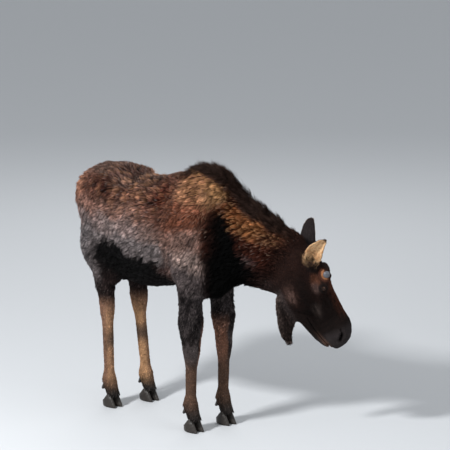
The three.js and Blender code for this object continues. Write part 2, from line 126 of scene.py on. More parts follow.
# The ears, right and left: their roots, their tips and the ways that they open.
EAR_ROOTS = from_head([[0.128, -0.066, -0.026], [0.128, 0.066, -0.026]])
EAR_TIPS = from_head([[-0.049, -0.250, 0.154], [-0.107, 0.200, 0.105]])
EAR_LENGTH = 0.31
EAR_OPENINGS = np.array([[0.2, -0.54, -0.36], [0.3, 0.9, 0.1]]) @ HEAD_AXES

# ---------------------------------------------------------------- numbers


def unit(v):
    """Vectors scaled to a length of 1."""
    v = np.asarray(v, float)
    return v / np.maximum(np.linalg.norm(v, axis=-1, keepdims=True), 1e-12)


def flat(towards, n):
    """Vectors laid down on the surface with these normals."""
    return towards - n * (towards * n).sum(1, keepdims=True)


def ramp(x, start, end):
    """0 before start and 1 after end, with soft ends. Start may be the larger."""
    s = np.clip((x - start) / (end - start), 0, 1)
    return s * s * (3 - 2 * s)


def blob(points, centre, radii):
    """1 at the centre of an oval, falling softly to 0 at its surface."""
    d = np.linalg.norm((points - np.asarray(centre)) / np.asarray(radii), axis=-1)
    return ramp(d, 1.0, 0.25)


WAVES, WAVES_SUM = 11, 4.2  # how many sines make a field, and what their sum seldom passes


def waves(points, length, seed):
    """A smooth field from -1 to 1 that wanders over about this length."""
    rng = np.random.default_rng(seed)
    k = unit(rng.normal(size=(WAVES, 3))) * rng.uniform(0.6, 1.5, (WAVES, 1)) * math.tau / length
    phase = rng.uniform(0, math.tau, WAVES)
    return np.clip(np.sin(points @ k.T + phase).sum(1) / WAVES_SUM, -1, 1)


def linear(hex_colour):
    """An sRGB hex colour as linear red, green and blue."""
    c = np.array([int(hex_colour[i : i + 2], 16) for i in (1, 3, 5)]) / 255
    return np.where(c <= 0.04045, c / 12.92, ((c + 0.055) / 1.055) ** 2.4)


def swatch(name, description, hex_colour):
    """A colour property, written as an sRGB hex."""
    return bpy.props.FloatVectorProperty(
        name=name,
        description=description,
        subtype="COLOR",
        size=3,
        min=0,
        max=1,
        default=tuple(float(v) for v in linear(hex_colour)),
    )


# ---------------------------------------------------------------- meshes


def alone(*objects):
    """Selects only these objects, the first one active."""
    bpy.ops.object.select_all(action="DESELECT")
    for o in objects:
        o.select_set(True)
    bpy.context.view_layer.objects.active = objects[0]


def edit(o, operator, chosen=None, **settings):
    """Runs an edit-mode operator on the chosen faces, or on the whole mesh."""
    alone(o)
    bpy.ops.object.mode_set(mode="EDIT")
    bpy.ops.mesh.select_mode(type="FACE")
    bpy.ops.mesh.select_all(action="SELECT" if chosen is None else "DESELECT")
    if chosen is not None:
        bpy.ops.object.mode_set(mode="OBJECT")
        o.data.polygons.foreach_set("select", chosen)
        bpy.ops.object.mode_set(mode="EDIT")
    operator(**settings)
    bpy.ops.object.mode_set(mode="OBJECT")


def copy_of(names, name):
    """One new object from copies of CAD nodes, with their doubled vertices merged."""
    copies = []
    for n in names:
        o = bpy.data.objects.new(name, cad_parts[n].data.copy())
        o.data.materials.clear()
        bpy.context.scene.collection.objects.link(o)
        copies.append(o)
    alone(*copies)
    if len(copies) > 1:
        bpy.ops.object.join()
    made = bpy.context.view_layer.objects.active
    edit(made, bpy.ops.mesh.remove_doubles, threshold=1e-5)
    made.name = made.data.name = name
    for a in list(made.data.attributes):
        if a.name == "UVMap" or a.name.startswith("Col"):
            made.data.attributes.remove(a)
    return made


def modify(o, kind, **settings):
    """Adds a modifier with these settings and applies it."""
    alone(o)
    m = o.modifiers.new(kind.title(), kind)
    for key, value in settings.items():
        setattr(m, key, value)
    bpy.ops.object.modifier_apply(modifier=m.name)


def get(items, key, width=3, kind=np.float32):
    """One row of numbers for each vertex, edge or face of a mesh."""
    values = np.empty(len(items) * width, kind)
    items.foreach_get(key, values)
    return values.reshape(-1, width)


def places(me):
    return get(me.vertices, "co").astype(float)


def normals(me):
    return get(me.vertex_normals, "vector").astype(float)


def face_middles(me):
    return get(me.polygons, "center").astype(float)


def edges_of(me):
    return get(me.edges, "vertices", 2, np.int32)


def put(me, points):
    """Moves a mesh's vertices to these places."""
    me.vertices.foreach_set("co", points.astype(np.float32).ravel())
    me.update()


def around(values, edges):
    """The sum of a value over each vertex's neighbours."""
    a, b = edges.T
    return np.bincount(a, values[b], len(values)) + np.bincount(b, values[a], len(values))


def spread(values, edges, rounds):
    """Values on vertices, averaged with their neighbours this many times."""
    n = len(values)
    count = np.maximum(around(np.ones(n), edges), 1)
    out = values.astype(float).reshape(n, -1).copy()
    for _ in range(rounds):
        for column in out.T:
            column[:] = 0.4 * column + 0.6 * around(column, edges) / count
    return out.reshape(values.shape)


def relaxed(points, edges, rounds, amount):
    """Vertices drawn towards their neighbours this many times, each by its own amount."""
    share = amount / np.maximum(around(np.ones(len(points)), edges), 1)
    out = points.copy()
    for _ in range(rounds):
        for column in out.T:
            column[:] = column * (1 - amount) + share * around(column, edges)
    return out


# How each kind of attribute is read: its key and its count of numbers.
KINDS = {"FLOAT": ("value", 1), "FLOAT_VECTOR": ("vector", 3), "FLOAT_COLOR": ("color", 4)}


def write(me, name, kind, values):
    """A named attribute on the vertices."""
    a = me.attributes.get(name) or me.attributes.new(name, kind, "POINT")
    if kind == "FLOAT_COLOR" and values.shape[1] == 3:
        values = np.hstack([values, np.ones((len(values), 1))])
    a.data.foreach_set(KINDS[kind][0], np.ascontiguousarray(values, np.float32).ravel())


def read(me, name):
    """The values of a named attribute, without the alpha of a colour."""
    a = me.attributes[name]
    return get(a.data, *KINDS[a.data_type])[:, :3].astype(float).squeeze()


def smooth_faces(o):
    o.data.polygons.foreach_set("use_smooth", np.ones(len(o.data.polygons), bool))


# ---------------------------------------------------------------- materials


def node(tree, kind, settings=None, links=None):
    """Adds a node. Settings go to its properties or input sockets, links to its input sockets."""
    made = tree.nodes.new(kind)
    for key, value in (settings or {}).items():
        if isinstance(key, str) and key in made.bl_rna.properties:
            setattr(made, key, value)
        else:
            made.inputs[key].default_value = value
    for key, source in (links or {}).items():
        tree.links.new(source, made.inputs[key])
    return made


def material(name):
    """An empty node material and its tree."""
    m = bpy.data.materials.new(name)
    m.use_nodes = True
    m.node_tree.nodes.clear()
    return m, m.node_tree


def finish_material(tree, **sockets):
    """A Principled shader whose sockets are constants or links, and the output."""
    fixed, linked = {}, {}
    for name, value in sockets.items():
        kind = linked if isinstance(value, bpy.types.NodeSocket) else fixed
        kind[name.replace("_", " ")] = value
    shader = node(tree, "ShaderNodeBsdfPrincipled", fixed, linked)
    node(tree, "ShaderNodeOutputMaterial", links={"Surface": shader.outputs[0]})


# ---------------------------------------------------------------- the skin's fields


def flesh_tree():
    """The CAD's flesh as one tree of faces, and the part of the body that each face is on."""
    names, faces, corners = [], [], []
    for i, (_, nodes) in enumerate(FLESH):
        for n in nodes:
            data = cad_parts[n].data
            start = len(corners)
            corners += [v.co.copy() for v in data.vertices]
            faces += [[start + k for k in p.vertices] for p in data.polygons]
            names += [i] * len(data.polygons)
    return BVHTree.FromPolygons(corners, faces), names


def part_weights(me, edges):
    """How much each vertex belongs to each part of the body, blended softly across the joins."""
    tree, names = flesh_tree()
    own = np.zeros((len(me.vertices), len(FLESH)))
    for i, v in enumerate(me.vertices):
        own[i, names[tree.find_nearest(v.co)[2]]] = 1
    own = spread(own, edges, 14)
    return {name: own[:, i] for i, (name, _) in enumerate(FLESH)}


FURTHEST_IN, FURTHEST_OUT = 0.09, 0.03  # how far from the outline the skin can be
LET_IN, LET_OUT = 0.004, 0.040  # the most that one round moves it


def fill_out(me, edges, depth):
    """Brings the skin back to its depth below the CAD's outline where smoothing drew it in."""
    tree, _ = flesh_tree()
    for _ in range(2):
        points, n = places(me), unit(spread(normals(me), edges, 4))
        below = np.empty(len(points))
        for i, (p, out) in enumerate(zip(points, n)):
            p = Vector(p)
            at, facing, _, near = tree.find_nearest(p)
            ahead = tree.ray_cast(p, Vector(out), FURTHEST_IN)[3]
            outside = (at - p) @ facing < 0
            below[i] = -near if outside and near < FURTHEST_OUT else near if ahead is None else ahead
        short = spread(np.clip(below - depth, -LET_IN, LET_OUT), edges, 8)
        put(me, points + n * short[:, None])


def in_neck(body):
    """Along the neck from the shoulders, and up from the line through its middle."""
    along = (body - NECK_ROOT)[:, :2] @ NECK_HEADING
    return along, body[:, 2] - NECK_ROOT[2] + NECK_FALL * along


def crest_of(body, n, w):
    """The mane along the top of the neck, from the hump to behind the ears."""
    along, high = in_neck(body)
    over_hump = 0.272 + 0.6 * np.minimum(along - 0.04, 0)
    edge = np.minimum(np.maximum(0.20 - 0.31 * along, 0.43 - along), over_hump)
    edge += 0.012 * waves(body, 0.06, 6)
    on = w["neck"] + w["trunk"] * ramp(body[:, 0], -0.34, -0.04)
    return np.clip(on, 0, 1) * ramp(high - edge, -0.02, 0.03) * ramp(n[:, 2], 0.05, 0.35)


# How far the tips of the coat stand off the skin, in metres.
DEPTH = {
    "trunk": 0.015,
    "neck": 0.018,
    "head": 0.0034,
    "bell": 0.009,
    "tail": 0.009,
    "ears": 0.0018,
    "upper": 0.007,
    "lower": 0.0028,
}


def depth_of(body, head, n, w):
    """The depth of the coat: thinner on the forelegs and the nose, thicker on the crest and the jaw."""
    depth = sum(w[part] * thick for part, thick in DEPTH.items())
    depth -= 0.006 * w["upper"] * ramp(body[:, 0], -0.4, -0.3)
    depth += 0.006 * crest_of(body, n, w)
    depth += 0.003 * w["head"] * blob(head, (0.22, 0.0, -0.15), (0.2, 0.2, 0.1))
    depth -= 0.0014 * w["head"] * ramp(head[:, 0], 0.42, 0.56)
    return depth


def lie_of(body, head, n, w):
    """Which way the hair lies, before it is laid down on the skin."""
    down, back = np.array([0.0, 0.0, -1.0]), np.array([-1.0, 0.0, 0.0])
    side = 1 - np.abs(n[:, 2:])
    shoulder = ramp(body[:, :1], -0.35, 0.0)
    rear = ramp(body[:, :1], -0.80, -1.02)
    chest = ramp(n[:, :1], 0.2, 0.6) * ramp(body[:, :1], 0.05, 0.2)
    under = ramp(n[:, 2:], 0.1, -0.5)
    slope = side * (0.85 + 0.25 * shoulder + 0.6 * rear)
    trunk = back * (1 - 0.25 * shoulder) * (1 - 0.75 * rear) + down * slope
    ears = unit(EAR_TIPS - EAR_ROOTS)
    leg = down + 0.10 * back
    parts = {
        "trunk": trunk * (1 - chest) + (down + 0.25 * back) * chest,
        "neck": unit(NECK_ROOT - POLL_IN_BODY) + down * (0.65 * side + 0.5 * under),
        "head": -DOWN_FACE - 0.25 * OUT_OF_BROW * ramp(head[:, 2:], 0.0, -0.1),
        "ears": np.where(head[:, 1:2] > 0, ears[1], ears[0]),
        "bell": down + 0.15 * back,
        "tail": unit(np.array([-0.083, 0.0, -0.116])),
        "upper": leg + 0.25 * back,
        "lower": leg,
    }
    total = sum(w[k][:, None] * v for k, v in parts.items())
    return unit(flat(total, n))


# The share of each primary in a colour's lightness, how much hue the hair gains, and its blackest black.
LUMINANCE = (0.25, 0.65, 0.10)
SATURATION = 1.06
DARKEST = 0.0008


def in_ears(body, n):
    """How far along its ear each point is, from 0 to 1, and how far it faces into the ear's opening."""
    i = (in_head(body + BELOW_HUMP)[:, 1] > 0).astype(int)
    along = ((body + BELOW_HUMP - EAR_ROOTS[i]) * unit(EAR_TIPS - EAR_ROOTS)[i]).sum(1) / EAR_LENGTH
    return along, ramp((n * unit(EAR_OPENINGS)[i]).sum(1), 0.05, 0.45)


def near_line(points, line, width):
    """Closeness, from 0 to 1, to a line drawn through these points."""
    line = np.asarray(line, float)
    best = np.full(len(points), np.inf)
    for p, q in zip(line[:-1], line[1:]):
        d = q - p
        u = np.clip((points - p) @ d / (d @ d), 0, 1)
        best = np.minimum(best, np.linalg.norm(points - p - u[:, None] * d, axis=1))
    return np.exp(-((best / width) ** 2))


def trace(head, line, width):
    """Closeness to a line drawn down the side of the head through points (down, out)."""
    return near_line(head[:, ::2], line, width)


class Markings:
    """Colours at places on the animal, painted over each other in order."""

    def __init__(self, body, head, n, w, shades):
        self.body, self.head, self.n, self.w, self.shades = body, head, n, w, shades
        self.colour = np.tile(np.array(shades.back), (len(body), 1))

    def over(self, other, amount):
        """Moves the colours towards another, which is an sRGB hex or a user's linear colour."""
        other = linear(other) if isinstance(other, str) else np.array(other)
        self.colour = self.colour + (other - self.colour) * np.clip(amount, 0, 1)[:, None]

    def spots(self, points, amount, *rows):
        """Paints soft ovals, each a colour, its centre, its radii and its strength."""
        for other, centre, radii, strength in rows:
            self.over(other, strength * amount * blob(points, centre, radii))

    def wavy(self, length, seed, height=1.0):
        """A field of waves on the body, drawn out along the height where that is below 1."""
        return waves(self.body * (1.0, 1.0, height), length, seed)


def paint_trunk(m):
    """A red-brown back with a painted highlight on each hip and painted light along the rear of the rump, a
    warm pale band, then grey that is partly painted sheen, grey painted shade low on the back of the thighs,
    and a black belly of black hair and painted shade, with a ragged edge.
    """
    x, _, z = m.body.T
    up, to_rear = m.n[:, 2], -m.n[:, 0]
    soft = z + 0.03 * m.wavy(0.15, 8)
    side = ramp(up, 0.80, 0.55)
    m.spots(
        m.body,
        1.0,
        ("#432822", (-0.76, 0.0, 1.51), (0.17, 0.6, 0.10), 1.0),
        ("#6b4c40", (-0.47, 0.0, 1.48), (0.14, 0.6, 0.10), 1.0),
        ("#47241c", (-0.25, 0.0, 1.49), (0.12, 0.6, 0.12), 1.0),
    )
    m.over("#4b3b35", ramp(up, 0.66, 0.94) * ramp(x, -0.14, -0.30))
    # A painted highlight on the top of each hip.
    m.over("#705a52", blob(np.abs(m.body), (0.66, 0.13, 1.52), (0.12, 0.09, 0.07)) * (x < 0))
    m.over("#84655a", side * ramp(soft, 1.45, 1.38) * ramp(x, -0.26, -0.40))
    # Greyer hair, partly painted sheen, on the flank and ribs.
    m.over("#83726e", side * ramp(soft, 1.36, 1.28) * ramp(x, -0.22, -0.40))
    m.over("#6e5c56", side * ramp(soft, 1.36, 1.25) * ramp(x, -0.40, -0.26))
    m.over("#6c6463", side * ramp(soft, 1.26, 1.18) * ramp(x, -0.08, -0.22))
    m.spots(
        m.body,
        1.0,
        ("#40322f", (-0.125, 0.0, 1.17), (0.06, 0.6, 0.12), 1.0),
        # This spot is painted light, a warm rim along the rear of the rump.
        ("#a07560", (-1.06, 0.0, 1.47), (0.13, 0.4, 0.13), 0.8),
        ("#36201c", (-0.72, 0.0, 1.50), (0.15, 0.4, 0.12), 0.7),
        # This grey spot is partly painted sheen.
        ("#928480", (-0.70, 0.0, 1.26), (0.15, 0.6, 0.07), 0.6),
    )
    # Painted shade: the lower back of the thighs, and what faces the rear there, are grey, as in shade under
    # a pale sky.
    m.over("#676161", ramp(x, -0.82, -0.92) * ramp(soft, 1.30, 1.16))
    m.over("#4a403e", ramp(to_rear, 0.45, 0.85) * ramp(soft, 1.34, 1.16) * ramp(x, -0.7, -0.8))
    # The black belly is black hair and painted shade: its ragged edge follows a cast shadow.
    ragged = z + 0.02 * m.wavy(0.22, 3) + 0.028 * m.wavy(0.045, 4, 0.3)
    ragged += 0.065 * ramp(x, -0.68, -0.20)
    m.over(m.shades.belly, ramp(ragged, 1.165, 1.135) * ramp(x + 0.03 * m.wavy(0.06, 17), -0.89, -0.80))
    m.spots(m.body, 1.0, ("#4f3c39", (-0.16, 0.0, 1.04), (0.12, 0.6, 0.08), 1.0))
    # Surfaces that face down are darkened: dark hair and painted shade.
    m.over("#141212", ramp(up, -0.5, -0.8))


def paint_shoulder(m):
    """A golden saddle that is partly painted sunlight, red-brown below it, a pale upper arm that is partly a
    painted highlight, and black hair in front, deepened by painted shade.
    """
    x, _, z = m.body.T
    edge = z + 0.030 * m.wavy(0.22, 3) + 0.018 * m.wavy(0.05, 4)
    soft = z + 0.03 * m.wavy(0.15, 8)
    front = ramp(x, -0.20, -0.06)
    m.over("#6a4334", front * ramp(z, 1.60, 1.48))
    # The saddle and the spot at the front of the hump are golden hair, partly painted sunlight.
    m.over(m.shades.saddle, front * ramp(soft, 1.46, 1.56))
    m.spots(m.body, 1.0, ("#97745a", (0.13, 0.0, 1.57), (0.09, 0.6, 0.09), 1.0))
    # Partly a painted highlight: the upper arm is paler, and palest low down.
    m.over("#7a6158", front * ramp(soft, 1.38, 1.28))
    m.over("#8a7871", front * ramp(soft, 1.26, 1.16))
    m.spots(m.body, 1.0, ("#4f4140", (-0.10, 0.0, 1.12), (0.06, 0.6, 0.13), 0.8))
    m.over("#554c4b", front * ramp(edge, 1.12, 1.05))
    m.spots(
        m.body,
        1.0,
        ("#43332f", (0.07, 0.0, 1.28), (0.05, 0.6, 0.08), 0.8),
        # This spot is a painted highlight on the arm.
        ("#7a6056", (0.14, 0.0, 1.37), (0.07, 0.6, 0.06), 0.5),
    )
    # Painted shade: the front of the shoulder darkens towards the chest, which faces away from the light.
    m.over("#46271d", front * ramp(x, 0.10, 0.155) * ramp(z, 1.47, 1.39) * ramp(z, 1.10, 1.20))
    m.over("#4a3a33", m.w["trunk"] * ramp(m.n[:, 2], 0.60, 0.88) * ramp(x, -0.26, -0.10) * ramp(x, 0.10, 0.0))
    # Black hair in front of the shoulder, deepened by painted shade.
    ahead = x - 0.35 * np.maximum(z - 1.38, 0) + 0.02 * m.wavy(0.08, 16)
    m.over("#0b0909", ramp(ahead, 0.12, 0.19) * ramp(z, 1.52, 1.40) * ramp(z, 0.98, 1.06))


def paint_neck(m):
    """A dark mane, a golden band below it that is partly painted sunlight, dark red-brown sides darkened
    below by painted shade, and black where it meets the chest, black hair deepened by painted shade.
    """
    along, high = in_neck(m.body)
    neck = np.clip(m.w["neck"] + m.w["trunk"] * ramp(m.body[:, 0], 0.14, 0.24), 0, 1)
    m.over("#331a13", neck)
    m.spots(
        np.stack([along, high, 0 * high], 1),
        neck,
        # The golden band is grizzled hair, partly painted sunlight.
        ("#94704f", (0.12, 0.20, 0), (0.12, 0.10, 1), 1.0),
        ("#623c26", (0.26, 0.08, 0), (0.15, 0.10, 1), 1.0),
        ("#71492f", (0.40, 0.03, 0), (0.17, 0.09, 1), 1.0),
        ("#4a2f22", (0.50, 0.00, 0), (0.14, 0.07, 1), 1.0),
        ("#3a2c2a", (0.36, -0.17, 0), (0.08, 0.06, 1), 1.0),
    )
    # Painted shade over dark hair: the underside of the neck is darker.
    m.over("#120c0b", neck * ramp(high, -0.17, -0.24))
    m.over("#1c110e", neck * ramp(along, 0.46, 0.56) * ramp(high, 0.0, -0.08))
    # Painted shade: black hair where the neck meets the chest, deepened.
    ahead = along - (0.20 + 0.55 * (0.08 - high)) + 0.02 * m.wavy(0.06, 11)
    m.over("#040404", neck * ramp(ahead, 0.035, -0.015) * ramp(high, 0.115, 0.06))
    crest = crest_of(m.body, m.n, m.w)
    m.over("#3a261d", np.minimum(1, 2.5 * crest))
    m.over(m.shades.mane, ramp(crest, 0.35, 1.0))


def paint_legs(m):
    """Black in front, and tan behind with dark bands."""
    x, y, z = m.body.T
    hinder = ramp(x, -0.4, -0.6)
    leg = m.w["upper"] + m.w["lower"]
    fore, hind = leg * (1 - hinder), leg * hinder
    inner = ramp(m.n[:, 1] * -np.sign(y), 0.1, 0.6)
    m.over("#353030", fore * ramp(z, 1.08, 0.92))
    m.over("#47403f", fore * ramp(z, 0.72, 0.62))
    m.over("#151212", 0.75 * fore * ramp(m.wavy(0.07, 14, 0.35), -0.1, 0.5))
    m.over("#7e5b4b", fore * ramp(z, 0.78, 0.62) * inner)
    m.over("#5a4539", fore * ramp(z, 0.52, 0.36))
    # Painted shade: grey on the back of the hind legs, as in shade under a pale sky.
    m.over("#7a7170", hind * ramp(z, 1.1, 0.98) * ramp(x, -0.78, -0.84))
    m.over("#2a2120", hind * ramp(z, 1.1, 1.02) * ramp(x, -0.83, -0.78))
    m.over("#271f1e", hind * ramp(z, 0.93, 0.84))
    m.over("#7d5f4e", hind * ramp(z, 0.77, 0.67))
    m.over(m.shades.shanks, hind * ramp(z, 0.72, 0.6) * np.maximum(inner, 0.5 * ramp(m.n[:, 0], 0.1, 0.6)))
    m.spots(m.body, hind, ("#57463b", (-0.8, 0, 0.46), (0.5, 0.5, 0.09), 1.0))
    m.over("#2b2725", leg * ramp(z, 0.22, 0.1))
    m.over("#463029", m.w["tail"])


def paint_head(m):
    """Dark, with a cheek and jowl paled by painted sheen, a paler temple and eyelids, a rusty bridge to the
    nose, and near-black painted shade in the mouth's slit and the nostrils.
    """
    down, across, out = m.head.T
    face = m.w["head"]
    cloudy = face * (0.65 + 0.5 * m.wavy(0.022, 12, 0.6))
    m.over(m.shades.face, face)
    m.over("#231511", face * ramp(down, 0.16, 0.06))
    # A painted sheen on the cheek.
    m.spots(m.head, cloudy, ("#46342e", (0.225, 0.0, -0.205), (0.11, 0.3, 0.06), 1.0))
    m.spots(m.head, face, ("#120b09", (0.27, 0.0, -0.13), (0.18, 0.3, 0.07), 1.0))
    # A painted sheen on the jowl.
    m.spots(m.head, cloudy, ("#5d4a44", (0.245, 0.0, -0.215), (0.07, 0.3, 0.04), 0.7))
    m.spots(
        m.head,
        face,
        ("#5b3a2c", (0.21, 0.0, -0.030), (0.07, 0.3, 0.045), 0.8),
        ("#4a3a36", (0.255, 0.0, -0.045), (0.06, 0.3, 0.04), 1.0),
    )
    m.over("#140d0b", face * ramp(down, 0.30, 0.39))
    m.spots(m.head, cloudy, ("#352d2a", (0.39, 0.0, -0.10), (0.08, 0.3, 0.045), 1.0))
    bridge = ramp(down, 0.22, 0.30) * ramp(down, 0.54, 0.42)
    rust = 0.35 * cloudy * ramp(out, -0.01, 0.03) + 0.6 * face * ramp(out, 0.03, 0.055)
    m.over("#5a3426", bridge * rust)
    m.over("#2c2727", face * ramp(down, 0.54, 0.60))
    for side in SIDES:
        ring = np.linalg.norm(m.body - in_body(middle(f"pedicle_{side}")), axis=1)
        m.over("#4f3127", face * ramp(ring, 0.058, 0.042) * (0.15 + 0.85 * ramp(out, 0.066, 0.036)))
        m.over("#b07c59", face * ramp(ring, 0.040, 0.033) * ramp(out, 0.056, 0.036))
    either = np.stack([down, np.abs(across), out], 1)
    eye = np.linalg.norm(either - BETWEEN_EYES - EYE_OFF_MIDDLE, axis=1)
    m.over("#1c1513", face * ramp(eye, 0.036, 0.026))
    m.over("#6e5143", 0.8 * face * trace(m.head, MOUTH, 0.012) * ramp(down, 0.5, 0.64))
    # Near-black painted shade in the mouth's slit and in the nostrils.
    slits = np.maximum(trace(m.head, MOUTH, 0.003), trace(m.head, NOSTRIL, 0.011))
    m.over("#0c0909", face * slits * (down > 0.3))
    m.over("#241d1b", m.w["bell"])
    m.over("#4d423e", m.w["bell"] * ramp(m.n @ DOWN_FACE, 0.1, -0.5))


def paint_ears(m):
    """Charcoal backs, buff insides with freckles, a dark tip, and painted shade that blackens the canal deep
    in the ear.
    """
    along, inner = in_ears(m.body, m.n)
    ears = m.w["ears"]
    lined = ears * ramp(along + 0.02 * m.wavy(0.03, 15), 0.06, 0.13)
    m.over("#292424", ears)
    m.over("#6b4b38", lined * ramp(inner, 0.01, 0.2))
    m.over(m.shades.ears, lined * ramp(inner, 0.25, 0.8))
    m.over("#b58560", 0.8 * lined * inner * ramp(m.wavy(0.016, 9), 0.1, 0.6))
    m.over("#2b211d", ears * ramp(along, 0.86, 0.97))
    # Painted shade deep in the ear's opening, over its canal.
    m.over("#1d1512", ears * inner * ramp(along + 0.04 * m.wavy(0.02, 13), 0.235, 0.15))


def colour_of(body, head, n, w, shades):
    """The markings of skin and coat alike. Shades are the colours that a user can set."""
    m = Markings(body, head, n, w, shades)
    for paint in (paint_trunk, paint_shoulder, paint_neck, paint_legs, paint_head, paint_ears):
        paint(m)
    # Hair adds a pale shine, so the hues under it are a little stronger.
    grey = (m.colour @ LUMINANCE)[:, None]
    c = np.clip(grey + (m.colour - grey) * SATURATION, DARKEST, 1)
    return c * (1 + 0.12 * m.wavy(0.07, 5))[:, None]


# ---------------------------------------------------------------- the skin


def near_ears(points):
    """Which points are on an ear, past its root."""
    found = np.zeros(len(points), bool)
    for root, tip in zip(EAR_ROOTS, EAR_TIPS):
        axis = unit(tip - root)
        r = points - root
        a = r @ axis
        found |= (a > 0.02) & (np.linalg.norm(r - np.outer(a, axis), axis=1) < 0.09)
    return found


def eye_axes(side):
    """Forward, up and outward axes of an eye, and its centre. Side is -1 on the right and 1 on the left."""
    out = unit(of_side((0.16, 1.0, 0.14), side))
    forward = DOWN_FACE * 0.97 - OUT_OF_BROW * 0.24
    forward = unit(forward - out * (forward @ out))
    up = np.cross(out, forward) * side
    return np.stack([forward, up * np.sign(up @ OUT_OF_BROW), out]), middle(f"eye_{SIDES[side > 0]}")


EYE_RADIUS = 0.020
LID_LENGTH, LID_HEIGHT = 0.0212, 0.0126
LID_THICK, LID_BEVEL, LID_CREASE = 0.0026, 0.0016, 0.0012
LIDS_REACH, LIDS_DEEP = 0.052, 0.045  # how far from the eye the lids shape the skin, across and in
SOCKET = 0.006  # how far the skin lies behind the eyeball's front between the lids
TEAR_AT, TEAR_SIZE, TEAR_DEEP = (0.034, -0.006), (0.018, 0.006), 0.004  # the hollow before the inner corner
# The skin round an antler's stump: how far it reaches, the bone's radius, and its height outside and inside.
COLLAR_REACH, STUMP, COLLAR_OUT, COLLAR_IN = 0.060, 0.024, 0.010, 0.004

# Lines down the side of the head, through points (down, out) in its frame.
MOUTH = ((0.415, -0.180), (0.500, -0.171), (0.580, -0.154), (0.660, -0.132), (0.720, -0.115))
NOSTRIL = ((0.600, -0.022), (0.618, -0.034), (0.631, -0.050))
# Relief of the side of the head: a line, its width, and how far it stands out or in.
RELIEF = (
    # Brow, and the hollow under the eye.
    (((0.228, 0.022), (0.262, 0.026), (0.298, 0.012)), 0.011, 0.0070),
    (((0.303, -0.014), (0.345, -0.020), (0.400, -0.026)), 0.015, -0.0065),
    # Cheekbone, temple, the groove below the cheekbone, and the jaw muscle with its front edge.
    (((0.160, -0.048), (0.220, -0.052), (0.290, -0.050), (0.360, -0.062), (0.430, -0.078)), 0.013, 0.0055),
    (((0.168, 0.004), (0.212, -0.014)), 0.017, -0.0065),
    (((0.330, -0.092), (0.400, -0.108), (0.450, -0.120)), 0.022, -0.0060),
    (((0.180, -0.115), (0.250, -0.140)), 0.042, 0.0060),
    (((0.300, -0.190), (0.338, -0.150), (0.352, -0.105)), 0.014, -0.0045),
    # Side of the bridge, and three folds of the muzzle.
    (((0.370, 0.030), (0.440, 0.020), (0.520, 0.010)), 0.013, -0.0045),
    (((0.548, -0.060), (0.562, -0.100), (0.560, -0.130)), 0.009, -0.0036),
    (((0.516, -0.065), (0.528, -0.105), (0.524, -0.140)), 0.009, -0.0030),
    (((0.486, -0.075), (0.496, -0.110), (0.492, -0.140)), 0.009, -0.0022),
    # Upper and lower lip.
    (((0.430, -0.165), (0.500, -0.156), (0.580, -0.139), (0.655, -0.117)), 0.010, 0.0042),
    (((0.440, -0.191), (0.510, -0.185), (0.590, -0.169), (0.650, -0.149)), 0.009, 0.0032),
    # The nostril: its rim above and below, its slit and its opening.
    (((0.642, -0.018), (0.610, -0.001), (0.575, -0.002), (0.553, -0.022)), 0.010, 0.0060),
    (((0.650, -0.070), (0.624, -0.068), (0.600, -0.052)), 0.008, 0.0035),
    (((0.570, -0.018), (0.596, -0.019), (0.612, -0.028)), 0.0055, -0.0120),
    (((0.614, -0.032), (0.631, -0.049)), 0.0105, -0.0240),
)
MOUTH_WIDTH, MOUTH_DEPTH = 0.0042, 0.0095
OVERLAP = 0.001  # how much the nodes of flesh grow, so that they meet over the gaps between them
SINK_STEPS = 6
# Valleys and ridges of the trunk: points (forward, up) in the body's frame, a width, and how far out.
TRUNK_LINES = (
    (((0.17, 1.58), (0.22, 1.40), (0.25, 1.20), (0.22, 1.05)), 0.045, -0.010),
    (((-0.17, 1.40), (-0.19, 1.20), (-0.16, 1.02)), 0.045, -0.012),
    (((-0.56, 1.36), (-0.60, 1.20), (-0.60, 1.02)), 0.055, -0.012),
    (((0.05, 1.42), (0.10, 1.22), (0.03, 1.08)), 0.075, 0.008),
)
HALF_TRUNK = 0.19
BELL_SWING, BELL_SLIMMER = 0.009, 0.34
# The bare bone left by an antler: the way it faces and where it stands, in the head's frame on the left side.
SCAR_FACES = (-0.04, 0.97, 0.22)
SCAR_AT = (0.198, 0.072, 0.046)


def of_side(vector, side):
    """A direction or place of the head's left side, turned into the model's axes for either side."""
    return np.array([vector[0], side * vector[1], vector[2]]) @ HEAD_AXES


def lid_edges(a):
    """Heights of the upper and the lower lid's edge, where a runs from -1 to 1 between the corners."""
    return LID_HEIGHT * (1 - a**2) * (1 - 0.15 * a), -0.72 * LID_HEIGHT * (1 - a**2) * (1 + 0.2 * a)


